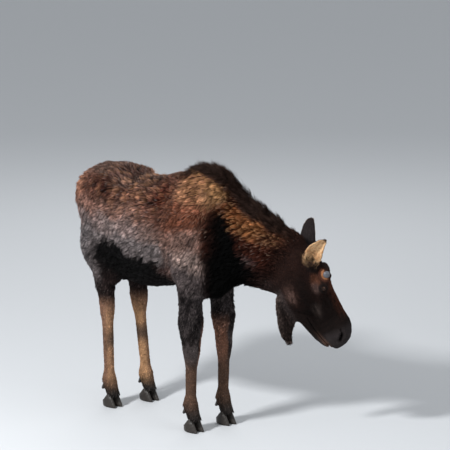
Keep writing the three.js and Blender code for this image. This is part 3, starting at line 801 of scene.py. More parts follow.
def carve_eye(points, side):
    """Lids that lie on the ball, a crease above them and a hollow in front."""
    axes, centre = eye_axes(side)
    a, b, c = ((points - centre) @ axes.T).T
    near = (np.hypot(a, b) < LIDS_REACH) & (np.abs(c) < LIDS_DEEP)
    a, b, c = a[near], b[near], c[near]
    steps = np.linspace(-1, 1, 60)
    rims = [np.hypot(a[:, None] - steps * LID_LENGTH, b[:, None] - edge) for edge in lid_edges(steps)]
    gap = np.min(np.hstack(rims), axis=1)
    over, under = lid_edges(a / LID_LENGTH)
    inside = (np.abs(a) < LID_LENGTH) & (b < over) & (b > under)
    ball = np.sqrt(np.maximum(EYE_RADIUS**2 - a**2 - b**2, (0.35 * EYE_RADIUS) ** 2))
    lid = ball + LID_THICK - LID_BEVEL * ramp(gap, 0.0025, 0.006) + LID_CREASE * ramp(gap, 0.006, 0.009)
    c = np.where(inside, ball - SOCKET * ramp(gap, 0, 0.0015), lid + (c - lid) * ramp(gap, 0.005, 0.024))
    tear = np.hypot((a - TEAR_AT[0]) / TEAR_SIZE[0], (b - TEAR_AT[1]) / TEAR_SIZE[1])
    c -= TEAR_DEEP * ramp(tear, 1.0, 0.2) * ~inside
    points[near] = np.stack([a, b, c], 1) @ axes + centre
    return near, inside


def carve_head(points, n):
    """Brows, cheekbones, jaw muscles, lips, nostrils and the folds of the muzzle."""
    head, out = in_head(points), n @ HEAD_AXES.T
    beside = ramp(np.abs(head[:, 1]), 0.015, 0.035)
    for line, width, amount in RELIEF:
        head += out * (amount * trace(head, line, width) * beside)[:, None]
    head -= out * (MOUTH_DEPTH * trace(head, MOUTH, MOUTH_WIDTH) * (head[:, 0] > 0.3))[:, None]
    return from_head(head)


def collar(points, side):
    """Skin drawn up round the stump of an antler."""
    base = middle(f"pedicle_{SIDES[side > 0]}")
    axis = unit(of_side(SCAR_FACES, side))
    r = points - base
    up = r @ axis
    off = np.linalg.norm(r - np.outer(up, axis), axis=1)
    pull = ramp(off, COLLAR_REACH, STUMP) * (np.abs(up) < COLLAR_REACH)
    target = COLLAR_OUT + (COLLAR_IN - COLLAR_OUT) * ramp(off, STUMP, 0.0)
    return points + np.outer(np.maximum(target - up, 0) * pull, axis)


def shape_body(points, w):
    """The valleys before and behind the shoulder, and the hollow of the flank."""
    body = in_body(points)
    for side in (-1, 1):
        half = (np.sign(body[:, 1]) == side) & (w["trunk"] + w["neck"] + w["upper"] > 0.5)
        some = body[half]
        for line, width, amount in TRUNK_LINES:
            line = [(x, side * HALF_TRUNK, z) for x, z in line]
            some[:, 1] += side * amount * near_line(some, line, width)
        body[half] = some
    # The bell narrows towards its tip, which swings forward.
    hangs = w["bell"] * ramp(body[:, 2], 0.93, 0.85)
    reach = body @ LEVEL
    rear = reach[hangs > 0.5].min()
    low = ramp(body[:, 2], 0.84, 0.75)
    shift = BELL_SWING * low - BELL_SLIMMER * (1 - 0.5 * low) * (reach - rear)
    return body + np.outer(shift * hangs, LEVEL) + BELOW_HUMP


# Where the body is fuller or leaner than its CAD solids: middle and radii in the body's frame, and how far.
FULLER = (
    ((-1.05, 0.0, 1.43), (0.28, 0.30, 0.24), 0.034),  # rump
    ((-0.96, 0.0, 1.04), (0.22, 0.40, 0.22), 0.042),  # back of the thighs
    ((0.19, 0.13, 1.58), (0.15, 0.15, 0.14), 0.019),  # front of the hump
    ((0.48, 0.34, 1.29), (0.09, 0.11, 0.10), 0.028),  # nape
    ((-0.26, 0.0, 1.62), (0.14, 0.20, 0.15), 0.020),  # back of the hump
    ((0.28, 0.19, 1.50), (0.08, 0.09, 0.08), -0.003),  # crest
    ((0.35, 0.24, 1.43), (0.08, 0.09, 0.08), -0.037),  # crest before the nape
    ((0.05, -0.18, 0.64), (0.2, 0.2, 0.22), 0.008),  # right knee
    ((-0.84, 0.16, 0.70), (0.12, 0.12, 0.12), 0.010),  # left hock
    ((-0.52, 0.0, 1.61), (0.07, 0.15, 0.10), 0.013),  # loin
    ((-0.12, 0.0, 1.71), (0.10, 0.15, 0.10), 0.008),  # top of the hump
    ((0.15, 0.05, 1.67), (0.09, 0.12, 0.09), 0.014),  # hump above the neck
)
TAIL_MOVES = np.array([-1.0, 0.0, 0.0])  # the way that the tail goes as a whole where the rump is fuller
# How wide each ear is against its CAD solid, at these shares of its length back from the tip.
EAR_STEPS = (0.0, 0.03, 0.10, 0.25, 0.45, 0.65, 0.85)
EAR_WIDTHS = ((1.35, 1.35, 1.30, 1.0, 1.0, 1.0, 1.0), (3.0, 2.6, 1.75, 1.22, 1.0, 0.9, 1.0))


def round_ears(points):
    """Widens the ears towards their tips, so that they end round, and narrows the left one at its root."""
    for root, tip, opening, widths in zip(EAR_ROOTS, EAR_TIPS, EAR_OPENINGS, EAR_WIDTHS):
        axis = unit(tip - root)
        across = unit(np.cross(axis, opening))
        r = points - root
        rest = 1 - r @ axis / np.linalg.norm(tip - root)
        on = (rest < 0.85) & (np.linalg.norm(r - np.outer(r @ axis, axis), axis=1) < 0.09) & (rest > -0.1)
        wider = np.interp(rest, EAR_STEPS, widths) - 1
        points = points + np.outer(on * wider * (r @ across), across)
    return points


class CoatColours(bpy.types.PropertyGroup):
    back: swatch("Back", "Red-brown of the back and flanks", "#5f4137")
    # The saddle's gold is partly painted sunlight.
    saddle: swatch("Saddle", "Golden hair over the shoulders", "#87624b")
    mane: swatch("Mane", "Dark hair along the hump and the top of the neck", "#241a16")
    # The belly's black is partly painted shade.
    belly: swatch("Belly", "Black of the belly", "#0e0d0d")
    face: swatch("Face", "Dark brown of the head", "#1b100d")
    ears: swatch("Ear lining", "Buff hair inside the ears", "#f5cda0")
    shanks: swatch("Shanks", "Tan of the inner hind legs", "#a98464")


class SkinSizes(bpy.types.PropertyGroup):
    grain: bpy.props.FloatProperty(
        name="Fine size",
        description="Size of the skin's faces on the head and ears",
        default=0.0050,
        min=0.002,
        unit="LENGTH",
    )
    coarser: bpy.props.FloatProperty(
        name="Body share",
        description="Share of the faces that the body keeps, where the coat is long",
        default=0.10,
        subtype="FACTOR",
    )


def rough_skin(nodes, sizes):
    """The nodes of flesh as one closed mesh, smoothed over their joins, with fewer faces off the head."""
    skin = copy_of(nodes, "skin")
    me = skin.data
    put(me, places(me) + normals(me) * OVERLAP)
    modify(skin, "REMESH", mode="VOXEL", voxel_size=sizes.grain)
    me = skin.data
    points = places(me)
    head = in_head(points)
    legs = ramp(in_body(points)[:, 2], 1.0, 0.8) * (head[:, 0] < 0.0)
    calm = ramp(head[:, 0], 0.02, 0.12) * ramp(head[:, 2], -0.24, -0.20)
    amount = np.clip(0.8 - 0.6 * calm - 0.72 * legs, 0.04, 1)
    put(me, relaxed(points, edges_of(me), 80, np.where(near_ears(points), 0.09, amount)))
    middles = face_middles(me)
    head = in_head(middles)
    fine = (head[:, 0] > 0.10) & (head[:, 2] > -0.22) & (np.abs(head[:, 1]) < 0.17)
    fine |= (head[:, 0] > 0.5) | near_ears(middles)
    edit(skin, bpy.ops.mesh.decimate, ~fine, ratio=sizes.coarser)
    return skin


def refine_face(skin):
    """Finer faces round the eyes, nostrils and mouth: first in a wide band, then in a narrow one."""
    me = skin.data
    for reach, close, with_mouth in ((0.048, 0.30, True), (0.040, 0.55, False)):
        middles = face_middles(me)
        head = in_head(middles)
        chosen = trace(head, NOSTRIL, 0.032) * (np.abs(head[:, 1]) > 0.02) > close
        if with_mouth:
            chosen |= (trace(head, MOUTH, 0.014) > close) & (head[:, 0] > 0.38)
        for side in SIDES:
            chosen |= np.linalg.norm(middles - middle(f"eye_{side}"), axis=1) < reach
        edit(skin, bpy.ops.mesh.subdivide, chosen, number_cuts=1, smoothness=0)


def sink(me, edges, w):
    """Takes the skin in by the depth of the coat, a little at a time."""
    points, n = places(me), normals(me)
    depth = spread(depth_of(in_body(points), in_head(points), unit(spread(n, edges, 3)), w), edges, 6)
    loose = 0.5 * np.clip(w["trunk"] + w["neck"], 0, 1)
    hump = blob(in_body(points), (0.02, 0.0, 1.72), (0.34, 0.3, 0.2))
    put(me, relaxed(points, edges, 24, 0.9 * hump))
    for _ in range(SINK_STEPS):
        n = unit(spread(normals(me), edges, 3))
        put(me, relaxed(places(me) - n * depth[:, None] / SINK_STEPS, edges, 3, loose))
    fill_out(me, edges, depth)


def carve(me, edges, w):
    """Gives the skin its relief, and returns where it is bare: on the eyeballs and in the nostrils."""
    points, n = places(me), unit(spread(normals(me), edges, 6))
    out = unit(n + (TAIL_MOVES - n) * w["tail"][:, None])
    for centre, radii, amount in FULLER:
        points += out * (amount * blob(in_body(points), centre, radii))[:, None]
    points = carve_head(round_ears(shape_body(points, w)), n)
    for side in (-1, 1):
        points = collar(points, side)
    bare = np.zeros(len(points))
    for side in (-1, 1):
        near, inside = carve_eye(points, side)
        bare[np.flatnonzero(near)[inside]] = 1
    head = in_head(points)
    put(me, points)
    return np.maximum(bare, ramp(trace(head, NOSTRIL, 0.012), 0.35, 0.6) * (head[:, 0] > 0.5))


class MOOSE_OT_skin(bpy.types.Operator):
    """One closed skin in place of all the nodes of flesh, inside them by the depth of the coat"""

    bl_idname = "moose.skin"
    bl_label = "Skin"

    def execute(self, context):
        nodes = [n for _, names in FLESH for n in names]
        skin = rough_skin(nodes, context.scene.moose_skin)
        refine_face(skin)
        me = skin.data
        edges = edges_of(me)
        w = part_weights(me, edges)
        sink(me, edges, w)
        bare = carve(me, edges, w)
        n = unit(spread(normals(me), edges, 2))
        body, head = in_body(places(me)), in_head(places(me))
        for name, value in w.items():
            write(me, f"part_{name}", "FLOAT", value)
        write(me, "lie", "FLOAT_VECTOR", lie_of(body, head, n, w))
        write(me, "colour", "FLOAT_COLOR", colour_of(body, head, n, w, context.scene.moose_colours))
        write(me, "bare", "FLOAT", bare)
        smooth_faces(skin)
        edit(skin, bpy.ops.uv.smart_project, angle_limit=1.15, island_margin=0.002)
        me.uv_layers[0].name = "OFBake"
        me.materials.append(hide_material())
        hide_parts(*nodes)
        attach(skin, "root")
        return {"FINISHED"}


def hide_material():
    """Hide seen between the hairs: matt, and roughened by the short underfur, in clumps of about 4 mm."""
    m, tree = material("hide with underfur")
    colour = node(tree, "ShaderNodeAttribute", {"attribute_name": "colour"})
    place = node(tree, "ShaderNodeTexCoord")
    wool = node(
        tree, "ShaderNodeTexNoise", {"Scale": 240.0, "Detail": 3.0}, {"Vector": place.outputs["Object"]}
    )
    shade = node(tree, "ShaderNodeMapRange", {"To Min": 0.55, "To Max": 1.0}, {"Value": wool.outputs[0]})
    shaded = {0: colour.outputs["Color"], "Scale": shade.outputs[0]}
    base = node(tree, "ShaderNodeVectorMath", {"operation": "SCALE"}, shaded)
    bump = node(tree, "ShaderNodeBump", {"Strength": 0.5, "Distance": 0.002}, {"Height": wool.outputs[0]})
    finish_material(
        tree, Base_Color=base.outputs[0], Roughness=0.85, Specular_IOR_Level=0.1, Normal=bump.outputs[0]
    )
    return m


# ---------------------------------------------------------------- the coat

# The hair of each part of the body, in metres: the gap between tufts, their length and width, the width of a
# lock, and how far the tips rise off the skin.
HAIR = {
    "trunk": dict(gap=0.0068, length=0.050, width=0.0048, lock=0.026, rise=0.015),
    "neck": dict(gap=0.0064, length=0.050, width=0.0046, lock=0.024, rise=0.017),
    "head": dict(gap=0.0043, length=0.0115, width=0.0021, lock=0.010, rise=0.0034),
    "bell": dict(gap=0.0050, length=0.030, width=0.0036, lock=0.014, rise=0.007),
    "tail": dict(gap=0.0048, length=0.045, width=0.0040, lock=0.020, rise=0.010),
    "ears": dict(gap=0.0042, length=0.014, width=0.0019, lock=0.010, rise=0.0032),
    "upper": dict(gap=0.0062, length=0.030, width=0.0042, lock=0.020, rise=0.008),
    "lower": dict(gap=0.0052, length=0.0135, width=0.0026, lock=0.012, rise=0.0030),
}


# How those sizes change along the crest and on the nose.
ON_CREST = dict(gap=-0.0019, length=0.020, width=-0.0020, lock=-0.014, rise=0.012)
ON_NOSE = dict(length=-0.0045, width=-0.0005, rise=-0.0014)


# The ridges of the coat of the back run along this way, and are this long, wide and deep.
RIDGES_RUN = (-0.73, 0.0, -0.68)
RIDGE_LENGTH, RIDGE_WIDTH, RIDGE_DEPTH = 0.085, 0.026, 0.2


def streaks(body):
    """Wavy ridges and furrows in the coat of the back and flank, from -1 in a furrow to 1 on a ridge."""
    x, y, z = body.T
    bend = 0.022 * waves(body, 0.13, 51) + 0.010 * waves(body, 0.05, 52)
    along = body @ unit(RIDGES_RUN) / RIDGE_LENGTH
    across = (z * RIDGES_RUN[0] - x * RIDGES_RUN[2] + np.abs(y) * 0.5 + bend) / RIDGE_WIDTH
    return waves(np.stack([along, across, y / RIDGE_DEPTH], 1), 1.0, 53)


def hair_of(body, head, n, w):
    """The hair at each place: the sizes of HAIR, how it is coloured, and how uneven it is."""
    made = {k: sum(w[part] * HAIR[part][k] for part in HAIR) for k in HAIR["trunk"]}
    crest = crest_of(body, n, w)
    nose = w["head"] * ramp(head[:, 0], 0.45, 0.58)
    for where, changes in ((crest, ON_CREST), (nose, ON_NOSE)):
        for size, change in changes.items():
            made[size] += where * change
    eye = blob(np.abs(head), np.abs(BETWEEN_EYES) + EYE_OFF_MIDDLE, (0.055, 0.055, 0.055))
    made["length"] *= 1 - 0.5 * eye
    made["rise"] *= 1 - 0.4 * eye
    along, inner = in_ears(body, n)
    made["length"] += 0.016 * w["ears"] * inner * ramp(along, 0.6, 0.2)
    made["rise"] += w["ears"] * inner * (0.0070 * ramp(along, 0.5, 0.2) - 0.0016)
    feet = w["lower"] * ramp(body[:, 2], 0.22, 0.12)
    made["length"] += feet * (0.014 + 0.014 * ramp(-n[:, 0], 0.0, 0.6))
    made["crest"] = crest
    # Gold tips on the saddle and on the upper neck, which faces up, are partly painted sunlight.
    made["gold"] = gold = blob(body, (0.08, 0.0, 1.62), (0.34, 0.5, 0.26)) * w["trunk"]
    gold += 0.8 * w["neck"] * (1 - crest) * ramp(n[:, 2], -0.1, 0.3)
    # Grey tips on the flank are partly painted sheen.
    flank = blob(body, (-0.45, 0.0, 1.27), (0.5, 0.6, 0.2)) * w["trunk"]
    made["grizzle"] = 0.10 + 0.42 * gold + 0.22 * flank + 0.12 * w["lower"]
    made["grizzle"] *= (1 - 0.9 * crest) * (1 - w["head"]) * (1 - w["bell"]) * (1 - w["ears"])
    made["streak"] = blob(body, (-0.50, 0.0, 1.47), (0.56, 0.7, 0.24)) * w["trunk"]
    made["uneven"] = 0.26 + 0.12 * gold.clip(0, 1) + 0.10 * made["streak"] - 0.14 * w["ears"]
    return made


BEHIND_ARM, MID_TRUNK = -0.36, -0.40  # forward in the body's frame
# The pieces of the coat, in the order that they take their roots: a name, a part of the body, and a test of
# places in the body's frame and of normals. A piece with no test takes what is left of its part.
PATCHES = (
    ("coat_back", "trunk", lambda b, n: n[:, 2] > 0.55),
    ("coat_belly", "trunk", lambda b, n: n[:, 2] < -0.5),
    ("coat_shoulder_right", "trunk", lambda b, n: (b[:, 0] > BEHIND_ARM) & (b[:, 1] < 0)),
    ("coat_shoulder_left", "trunk", lambda b, n: b[:, 0] > BEHIND_ARM),
    ("coat_flank_right", "trunk", lambda b, n: b[:, 1] < 0),
    ("coat_flank_left", "trunk", None),
    ("coat_mane", "neck", lambda b, n: n[:, 2] > 0.35),
    ("coat_neck", "neck", None),
    ("coat_face_right", "head", lambda b, n: in_head(b + BELOW_HUMP)[:, 1] < 0),
    ("coat_face_left", "head", None),
    ("coat_ears", "ears", None),
    ("coat_bell", "bell", None),
    ("coat_tail", "tail", None),
    ("coat_fore_legs_upper", "upper", lambda b, n: b[:, 0] > MID_TRUNK),
    ("coat_hind_legs_upper", "upper", None),
    ("coat_fore_legs_lower", "lower", lambda b, n: b[:, 0] > MID_TRUNK),
    ("coat_hind_legs_lower", "lower", None),
)


def scatter(skin, seed, sizes):
    """Roots over the whole skin, closer where the hair is finer, with every field read at each root."""
    me = skin.data
    me.calc_loop_triangles()
    corners = get(me.loop_triangles, "vertices", kind=np.int32)
    uv = get(me.uv_layers["OFBake"].uv, "vector", 2)[get(me.loop_triangles, "loops", kind=np.int32)]
    points, n = places(me), normals(me)
    w = {name: read(me, f"part_{name}") for name, _ in FLESH}
    fields = hair_of(in_body(points), in_head(points), n, w)
    fields |= {k: read(me, k) for k in ("lie", "colour", "bare")}
    fields["gap"] *= sizes.spacing
    fields["length"] *= sizes.length
    a, b, c = (points[corners[:, k]] for k in range(3))
    area = np.linalg.norm(np.cross(b - a, c - a), axis=1) / 2
    gap = fields["gap"][corners].mean(1)
    wanted = area / gap**2 * (1 - fields["bare"][corners].mean(1))
    heap = np.cumsum(wanted)
    total = int(heap[-1])
    rng = np.random.default_rng(seed)
    chosen = np.searchsorted(heap, (np.arange(total) + rng.uniform(size=total)) / total * heap[-1])
    chosen = np.minimum(chosen, len(corners) - 1)
    r = np.sqrt(rng.uniform(size=total))
    q = rng.uniform(size=total)
    share = np.stack([1 - r, r * (1 - q), r * q], 1)

    def at(values):
        v = values[corners[chosen]]
        return (v * share.reshape(share.shape + (1,) * (v.ndim - 2))).sum(1)

    roots = {k: at(v) for k, v in fields.items()}
    roots["place"], roots["normal"] = at(points), unit(at(n))
    roots["uv"] = (uv[chosen] * share[:, :, None]).sum(1)
    parts = np.array([name for name, _ in FLESH])
    roots["part"] = parts[np.argmax(np.stack([at(w[name]) for name in parts], 1), axis=1)]
    return roots, rng


# How the hair's lie wanders, in radians: over the body, from lock to lock and from tuft to tuft.
DRIFT, LOCK_TURN, TUFT_TURN = 0.30, 0.16, 0.09
# Spreads of length, rise and width, as shares of what is usual there.
LOCK_LENGTH, TUFT_LENGTH = (0.8, 1.15), (0.75, 1.2)
LOCK_RISE, TUFT_RISE = (0.7, 1.2), (0.75, 1.15)
TUFT_WIDTH, TUFT_SHADE = (0.75, 1.2), (0.5, 1.5)
GATHER = 0.55  # how far the tips of a lock close up on its middle
STRAYS, STRAYS_IN_CREST = 0.05, 0.06
STRAY_RISE, STRAY_WIDTH = 1.5, 0.6


def locks(roots, rng):
    """Gathers the tufts into locks: tufts of one lock share its turn, rise and shade, and lean together."""
    place, n = roots["place"], roots["normal"]
    total = len(place)
    keep = rng.uniform(size=total) < (roots["gap"] / roots["lock"]) ** 2
    middles = np.flatnonzero(keep)
    tree = KDTree(len(middles))
    for i, j in enumerate(middles):
        tree.insert(place[j], i)
    tree.balance()
    lock = np.array([tree.find(p)[1] for p in place])

    def per_lock(values):
        return values[lock]

    def even(limits, count=total):
        return rng.uniform(*limits, count)

    lie = unit(flat(roots["lie"], n))
    turn = DRIFT * waves(place, 0.16, 21) + per_lock(rng.normal(0, LOCK_TURN, len(middles)))
    turn += rng.normal(0, TUFT_TURN, total)
    lie = lie * np.cos(turn)[:, None] + np.cross(n, lie) * np.sin(turn)[:, None]
    length = roots["length"] * per_lock(even(LOCK_LENGTH, len(middles))) * even(TUFT_LENGTH)
    centre = middles[lock]
    lean = flat((place[centre] + lie[centre] * length[centre][:, None]) - (place + lie * length[:, None]), n)
    reach = np.linalg.norm(lean, axis=1, keepdims=True)
    lean *= GATHER * np.minimum(1, 0.5 * length[:, None] / np.maximum(reach, 1e-6))
    ridge = streaks(in_body(place))
    ridge = (1.3 * (0.7 * ridge + 0.3 * ridge[centre]) * roots["streak"]).clip(-1, 1)
    rise = roots["rise"] * per_lock(even(LOCK_RISE, len(middles))) * even(TUFT_RISE)
    parting = ramp(np.linalg.norm(place - place[centre], axis=1) / roots["lock"], 0.25, 0.65)
    stray = rng.uniform(size=total) < STRAYS + STRAYS_IN_CREST * roots["crest"]
    rise *= (1 + 0.5 * ridge) * (1.05 - 0.2 * parting) * np.where(stray, STRAY_RISE, 1.0)
    width = roots["width"] * even(TUFT_WIDTH) * np.where(stray, STRAY_WIDTH, 1.0)
    shade = np.exp(per_lock(rng.normal(0, 1, len(middles))).clip(-2, 2) * roots["uneven"])
    # Painted shade: tufts at the partings between locks are darker.
    shade *= even(TUFT_SHADE) * (1.1 - 0.9 * roots["uneven"] * parting)
    # Black hair has no pale tips.
    grizzled = roots["grizzle"] * ramp(roots["colour"].mean(1), 0.004, 0.03)
    pale = (rng.uniform(size=total) < grizzled).astype(float)
    wave = per_lock(rng.uniform(0, math.tau, len(middles)))
    roots |= dict(lie=lie, side=np.cross(n, lie), length=length, lean=lean, rise=rise, width=width)
    roots |= dict(shade=shade, ridge=ridge, pale=pale, wave=wave)


# How far along each ring of a tuft is, and how wide it is there.
SHORT_TUFT = ((0.0, 0.7), (0.45, 1.0))
LONG_TUFT = ((0.0, 0.7), (0.3, 1.0), (0.65, 0.75))
# The three corners of a ring: across and outwards, as shares of half its width.
RING = ((1, -0.15), (-1, -0.15), (0, 0.75))
SUNK = 0.0015  # how deep a tuft's root lies in the skin
# The dark root of a tuft is painted shade deep in the coat.
ROOT_TONE, TONE_GAIN, TIP_TONE = 0.4, 1.1, 1.35  # a tuft is dark at its root and palest at its tip
TIP_GRIZZLE_AND_LIGHT = 0.7  # how much of the gold or grey a pale tip takes
PATCH_WIDE, PATCH_HIGH = 0.0013, 0.003  # half the width, and the height, of a tuft's patch of the map


def not_over_white(colours):
    return colours / np.maximum(1, colours.max(1, keepdims=True))


def tuft_faces(total, count):
    """Corners of the triangles of this many tufts, each closed at its root and its tip."""
    sides = ((0, 1), (1, 2), (2, 0))
    faces = [(0, 1, 2)]
    for j in range(count - 1):
        for a, b in sides:
            p, q = 3 * j + a, 3 * j + b
            faces += [(q, p, p + 3), (q, p + 3, q + 3)]
    p = 3 * (count - 1)
    faces += [(p + b, p + a, p + 3) for a, b in sides]
    return (np.arange(total)[:, None, None] * (p + 4) + np.array(faces)).reshape(-1)


def tufts(name, roots, rings, sizes):
    """One mesh of solid tufts: three-sided, ridged outside, and bent down to the coat at the tip."""
    total, size = len(roots["place"]), 3 * len(rings) + 1
    place, n, lie, side = (roots[k][:, None] for k in ("place", "normal", "lie", "side"))
    s = np.array([r[0] for r in rings] + [1.0])[None, :, None]
    length, rise = roots["length"][:, None, None], roots["rise"][:, None, None]
    sway = 0.05 * length * np.sin(5.0 * s + roots["wave"][:, None, None]) * s
    axis = place + lie * length * s * 0.97 + n * (rise * (1 - (1 - s) ** 2) - SUNK)
    axis = axis + side * sway + roots["lean"][:, None] * s**1.4
    points, colour = np.empty((total, size, 3)), np.empty((total, size, 3))
    uv, strand = np.empty((total, size, 2)), np.empty((total, size, 2))
    shade, ridge = roots["shade"][:, None], roots["ridge"][:, None]
    # Painted shade in the furrows of the wavy coat, and a painted highlight in the colour of its lit ridges.
    tone = sizes.gain * roots["colour"] * shade * (1 - 0.8 * np.clip(-ridge, 0, 1))
    tone = tone + (np.array(sizes.ridge) * shade - tone) * 0.45 * np.clip(ridge, 0, 1)
    tone = not_over_white(tone)
    # Pale tips are grizzled hair: their gold carries painted sunlight, and their grey on the flank painted
    # sheen.
    grey, gold = np.array(sizes.grey), np.array(sizes.gold)
    grizzle_and_light = grey + (gold - grey) * roots["gold"][:, None].clip(0, 1)
    tip = tone * TIP_TONE
    tip = tip + (grizzle_and_light - tip) * TIP_GRIZZLE_AND_LIGHT * roots["pale"][:, None]
    for j, (along, wide) in enumerate(rings):
        half = roots["width"][:, None] * wide / 2
        for k, (across, out) in enumerate(RING):
            i = 3 * j + k
            points[:, i] = axis[:, j] + side[:, 0] * half * across + n[:, 0] * half * out
            colour[:, i] = tone * (ROOT_TONE + TONE_GAIN * along)
            uv[:, i] = roots["uv"] + (across * PATCH_WIDE, (along - 0.5) * PATCH_HIGH)
            strand[:, i] = (0.5 + across / 2, along)
    points[:, -1] = axis[:, -1]
    colour[:, -1] = not_over_white(tip)
    uv[:, -1] = roots["uv"] + (0, PATCH_HIGH / 2)
    strand[:, -1] = (0.5, 1)
    corners = tuft_faces(total, len(rings))
    me = bpy.data.meshes.new(name)
    me.vertices.add(total * size)
    me.loops.add(len(corners))
    me.polygons.add(len(corners) // 3)
    me.vertices.foreach_set("co", points.astype(np.float32).ravel())
    me.loops.foreach_set("vertex_index", corners.astype(np.int32))
    me.polygons.foreach_set("loop_start", np.arange(0, len(corners), 3, dtype=np.int32))
    me.update(calc_edges=True)
    for layer, values in (("OFBake", uv), ("strand", strand)):
        made = me.uv_layers.new(name=layer)
        made.uv.foreach_set("vector", values.reshape(-1, 2)[corners].astype(np.float32).ravel())
    write(me, "colour", "FLOAT_COLOR", np.clip(colour, 0, 1).reshape(-1, 3))
    o = bpy.data.objects.new(name, me)
    bpy.context.scene.collection.objects.link(o)
    smooth_faces(o)
    return o


class HairSizes(bpy.types.PropertyGroup):
    spacing: bpy.props.FloatProperty(
        name="Spacing", description="Space between tufts, against a winter coat", default=1.0, min=0.9, max=3
    )
    length: bpy.props.FloatProperty(
        name="Length", description="Length of tufts, against a winter coat", default=1.0, min=0.3, max=2
    )
    gain: bpy.props.FloatProperty(
        name="Brightness",
        description="How much brighter a hair is than the coat it makes, where its neighbours shade it",
        default=1.46,
        min=0.2,
    )
    ridge: swatch("Lit ridges", "Hair on the ridges of the wavy coat of the flank", "#a37656")
    # Gold tips are partly painted sunlight, and grey tips on the flank partly painted sheen.
    gold: swatch("Gold tips", "Tips of the hairs of the saddle and the neck", "#d39b5e")
    grey: swatch("Grey tips", "Tips of the hairs of the flanks and legs", "#a79a94")


class MOOSE_OT_coat(bpy.types.Operator):
    """The coat: tufts of hair over the whole skin, in one mesh for each part of the body"""

    bl_idname = "moose.coat"
    bl_label = "Coat"

    def execute(self, context):
        skin = bpy.data.objects["skin"]
        sizes = context.scene.moose_hair
        roots, rng = scatter(skin, 7, sizes)
        locks(roots, rng)
        hair = hair_material()
        left = np.ones(len(roots["place"]), bool)
        body = in_body(roots["place"])
        for name, part, test in PATCHES:
            taken = left & (roots["part"] == part)
            if test:
                taken &= test(body, roots["normal"])
            left &= ~taken
            some = {k: v[taken] for k, v in roots.items()}
            o = tufts(name, some, LONG_TUFT if name in ("coat_mane", "coat_bell") else SHORT_TUFT, sizes)
            o.data.materials.append(hair)
            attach(o, "root")
        return {"FINISHED"}


def hair_material():
    """Coarse winter guard hair: dull, and split into strands across each tuft."""
    m, tree = material("winter guard hair")
    colour = node(tree, "ShaderNodeAttribute", {"attribute_name": "colour"})
    strand = node(tree, "ShaderNodeUVMap", {"uv_map": "strand"})
    # Four strands across each tuft, which is about a millimetre each. Real hairs are too fine to show.
    across = {"Scale": 1.3, "Distortion": 1.5, "Detail": 1.0}
    lines = node(tree, "ShaderNodeTexWave", across, {"Vector": strand.outputs[0]})
    shade = node(tree, "ShaderNodeMapRange", {"To Min": 0.66, "To Max": 1.16}, {"Value": lines.outputs[1]})
    shaded = {0: colour.outputs["Color"], "Scale": shade.outputs[0]}
    base = node(tree, "ShaderNodeVectorMath", {"operation": "SCALE"}, shaded)
    bump = node(tree, "ShaderNodeBump", {"Strength": 0.35, "Distance": 0.001}, {"Height": lines.outputs[1]})
    finish_material(
        tree,
        Base_Color=base.outputs[0],
        Roughness=0.65,
        IOR=1.55,
        Specular_IOR_Level=0.03,
        Normal=bump.outputs[0],
    )
    return m


# ---------------------------------------------------------------- eyes, antler scars and feet


def placed(o, axes, origin):
    """Puts a mesh modelled at the origin into the model's frame. Rows of axes are its x, y and z."""
    put(o.data, places(o.data) @ np.asarray(axes) + origin)
    o.location, o.rotation_euler, o.scale = (0, 0, 0), (0, 0, 0), (1, 1, 1)


def added(operator, name, **settings):
    """A new primitive, alone in the selection."""
    bpy.ops.object.select_all(action="DESELECT")
    operator(**settings)
    o = bpy.context.object
    o.name = o.data.name = name
    return o


class EyeLook(bpy.types.PropertyGroup):
    bulge: bpy.props.FloatProperty(
        name="Cornea",
        description="How far the cornea bulges from the ball",
        default=0.0016,
        min=0,
        unit="LENGTH",
    )
    iris: swatch("Iris", "Dark brown of the iris", "#241208")
    fleck: swatch("Flecks", "Paler flecks of the iris", "#43250f")


class MOOSE_OT_eyes(bpy.types.Operator):
    """Eyeballs with a bulging cornea and a long level pupil"""

    bl_idname = "moose.eyes"
    bl_label = "Eyes"

    def execute(self, context):
        look = context.scene.moose_eyes
        wet = eye_material(look)
        for side in (-1, 1):
            name = f"eyeball_{SIDES[side > 0]}"
            o = added(
                bpy.ops.mesh.primitive_uv_sphere_add, name, segments=48, ring_count=32, radius=EYE_RADIUS
            )
            points = places(o.data)
            points[:, 2] += look.bulge * ramp(points[:, 2] / EYE_RADIUS, 0.78, 1.0)
            put(o.data, points)
            write(o.data, "gaze", "FLOAT_VECTOR", points / EYE_RADIUS)
            axes, centre = eye_axes(side)
            placed(o, axes, centre)
            if np.linalg.det(axes) < 0:
                o.data.flip_normals()
            smooth_faces(o)
            o.data.materials.append(wet)
            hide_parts(f"eye_{SIDES[side > 0]}")
            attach(o, "root")
        return {"FINISHED"}


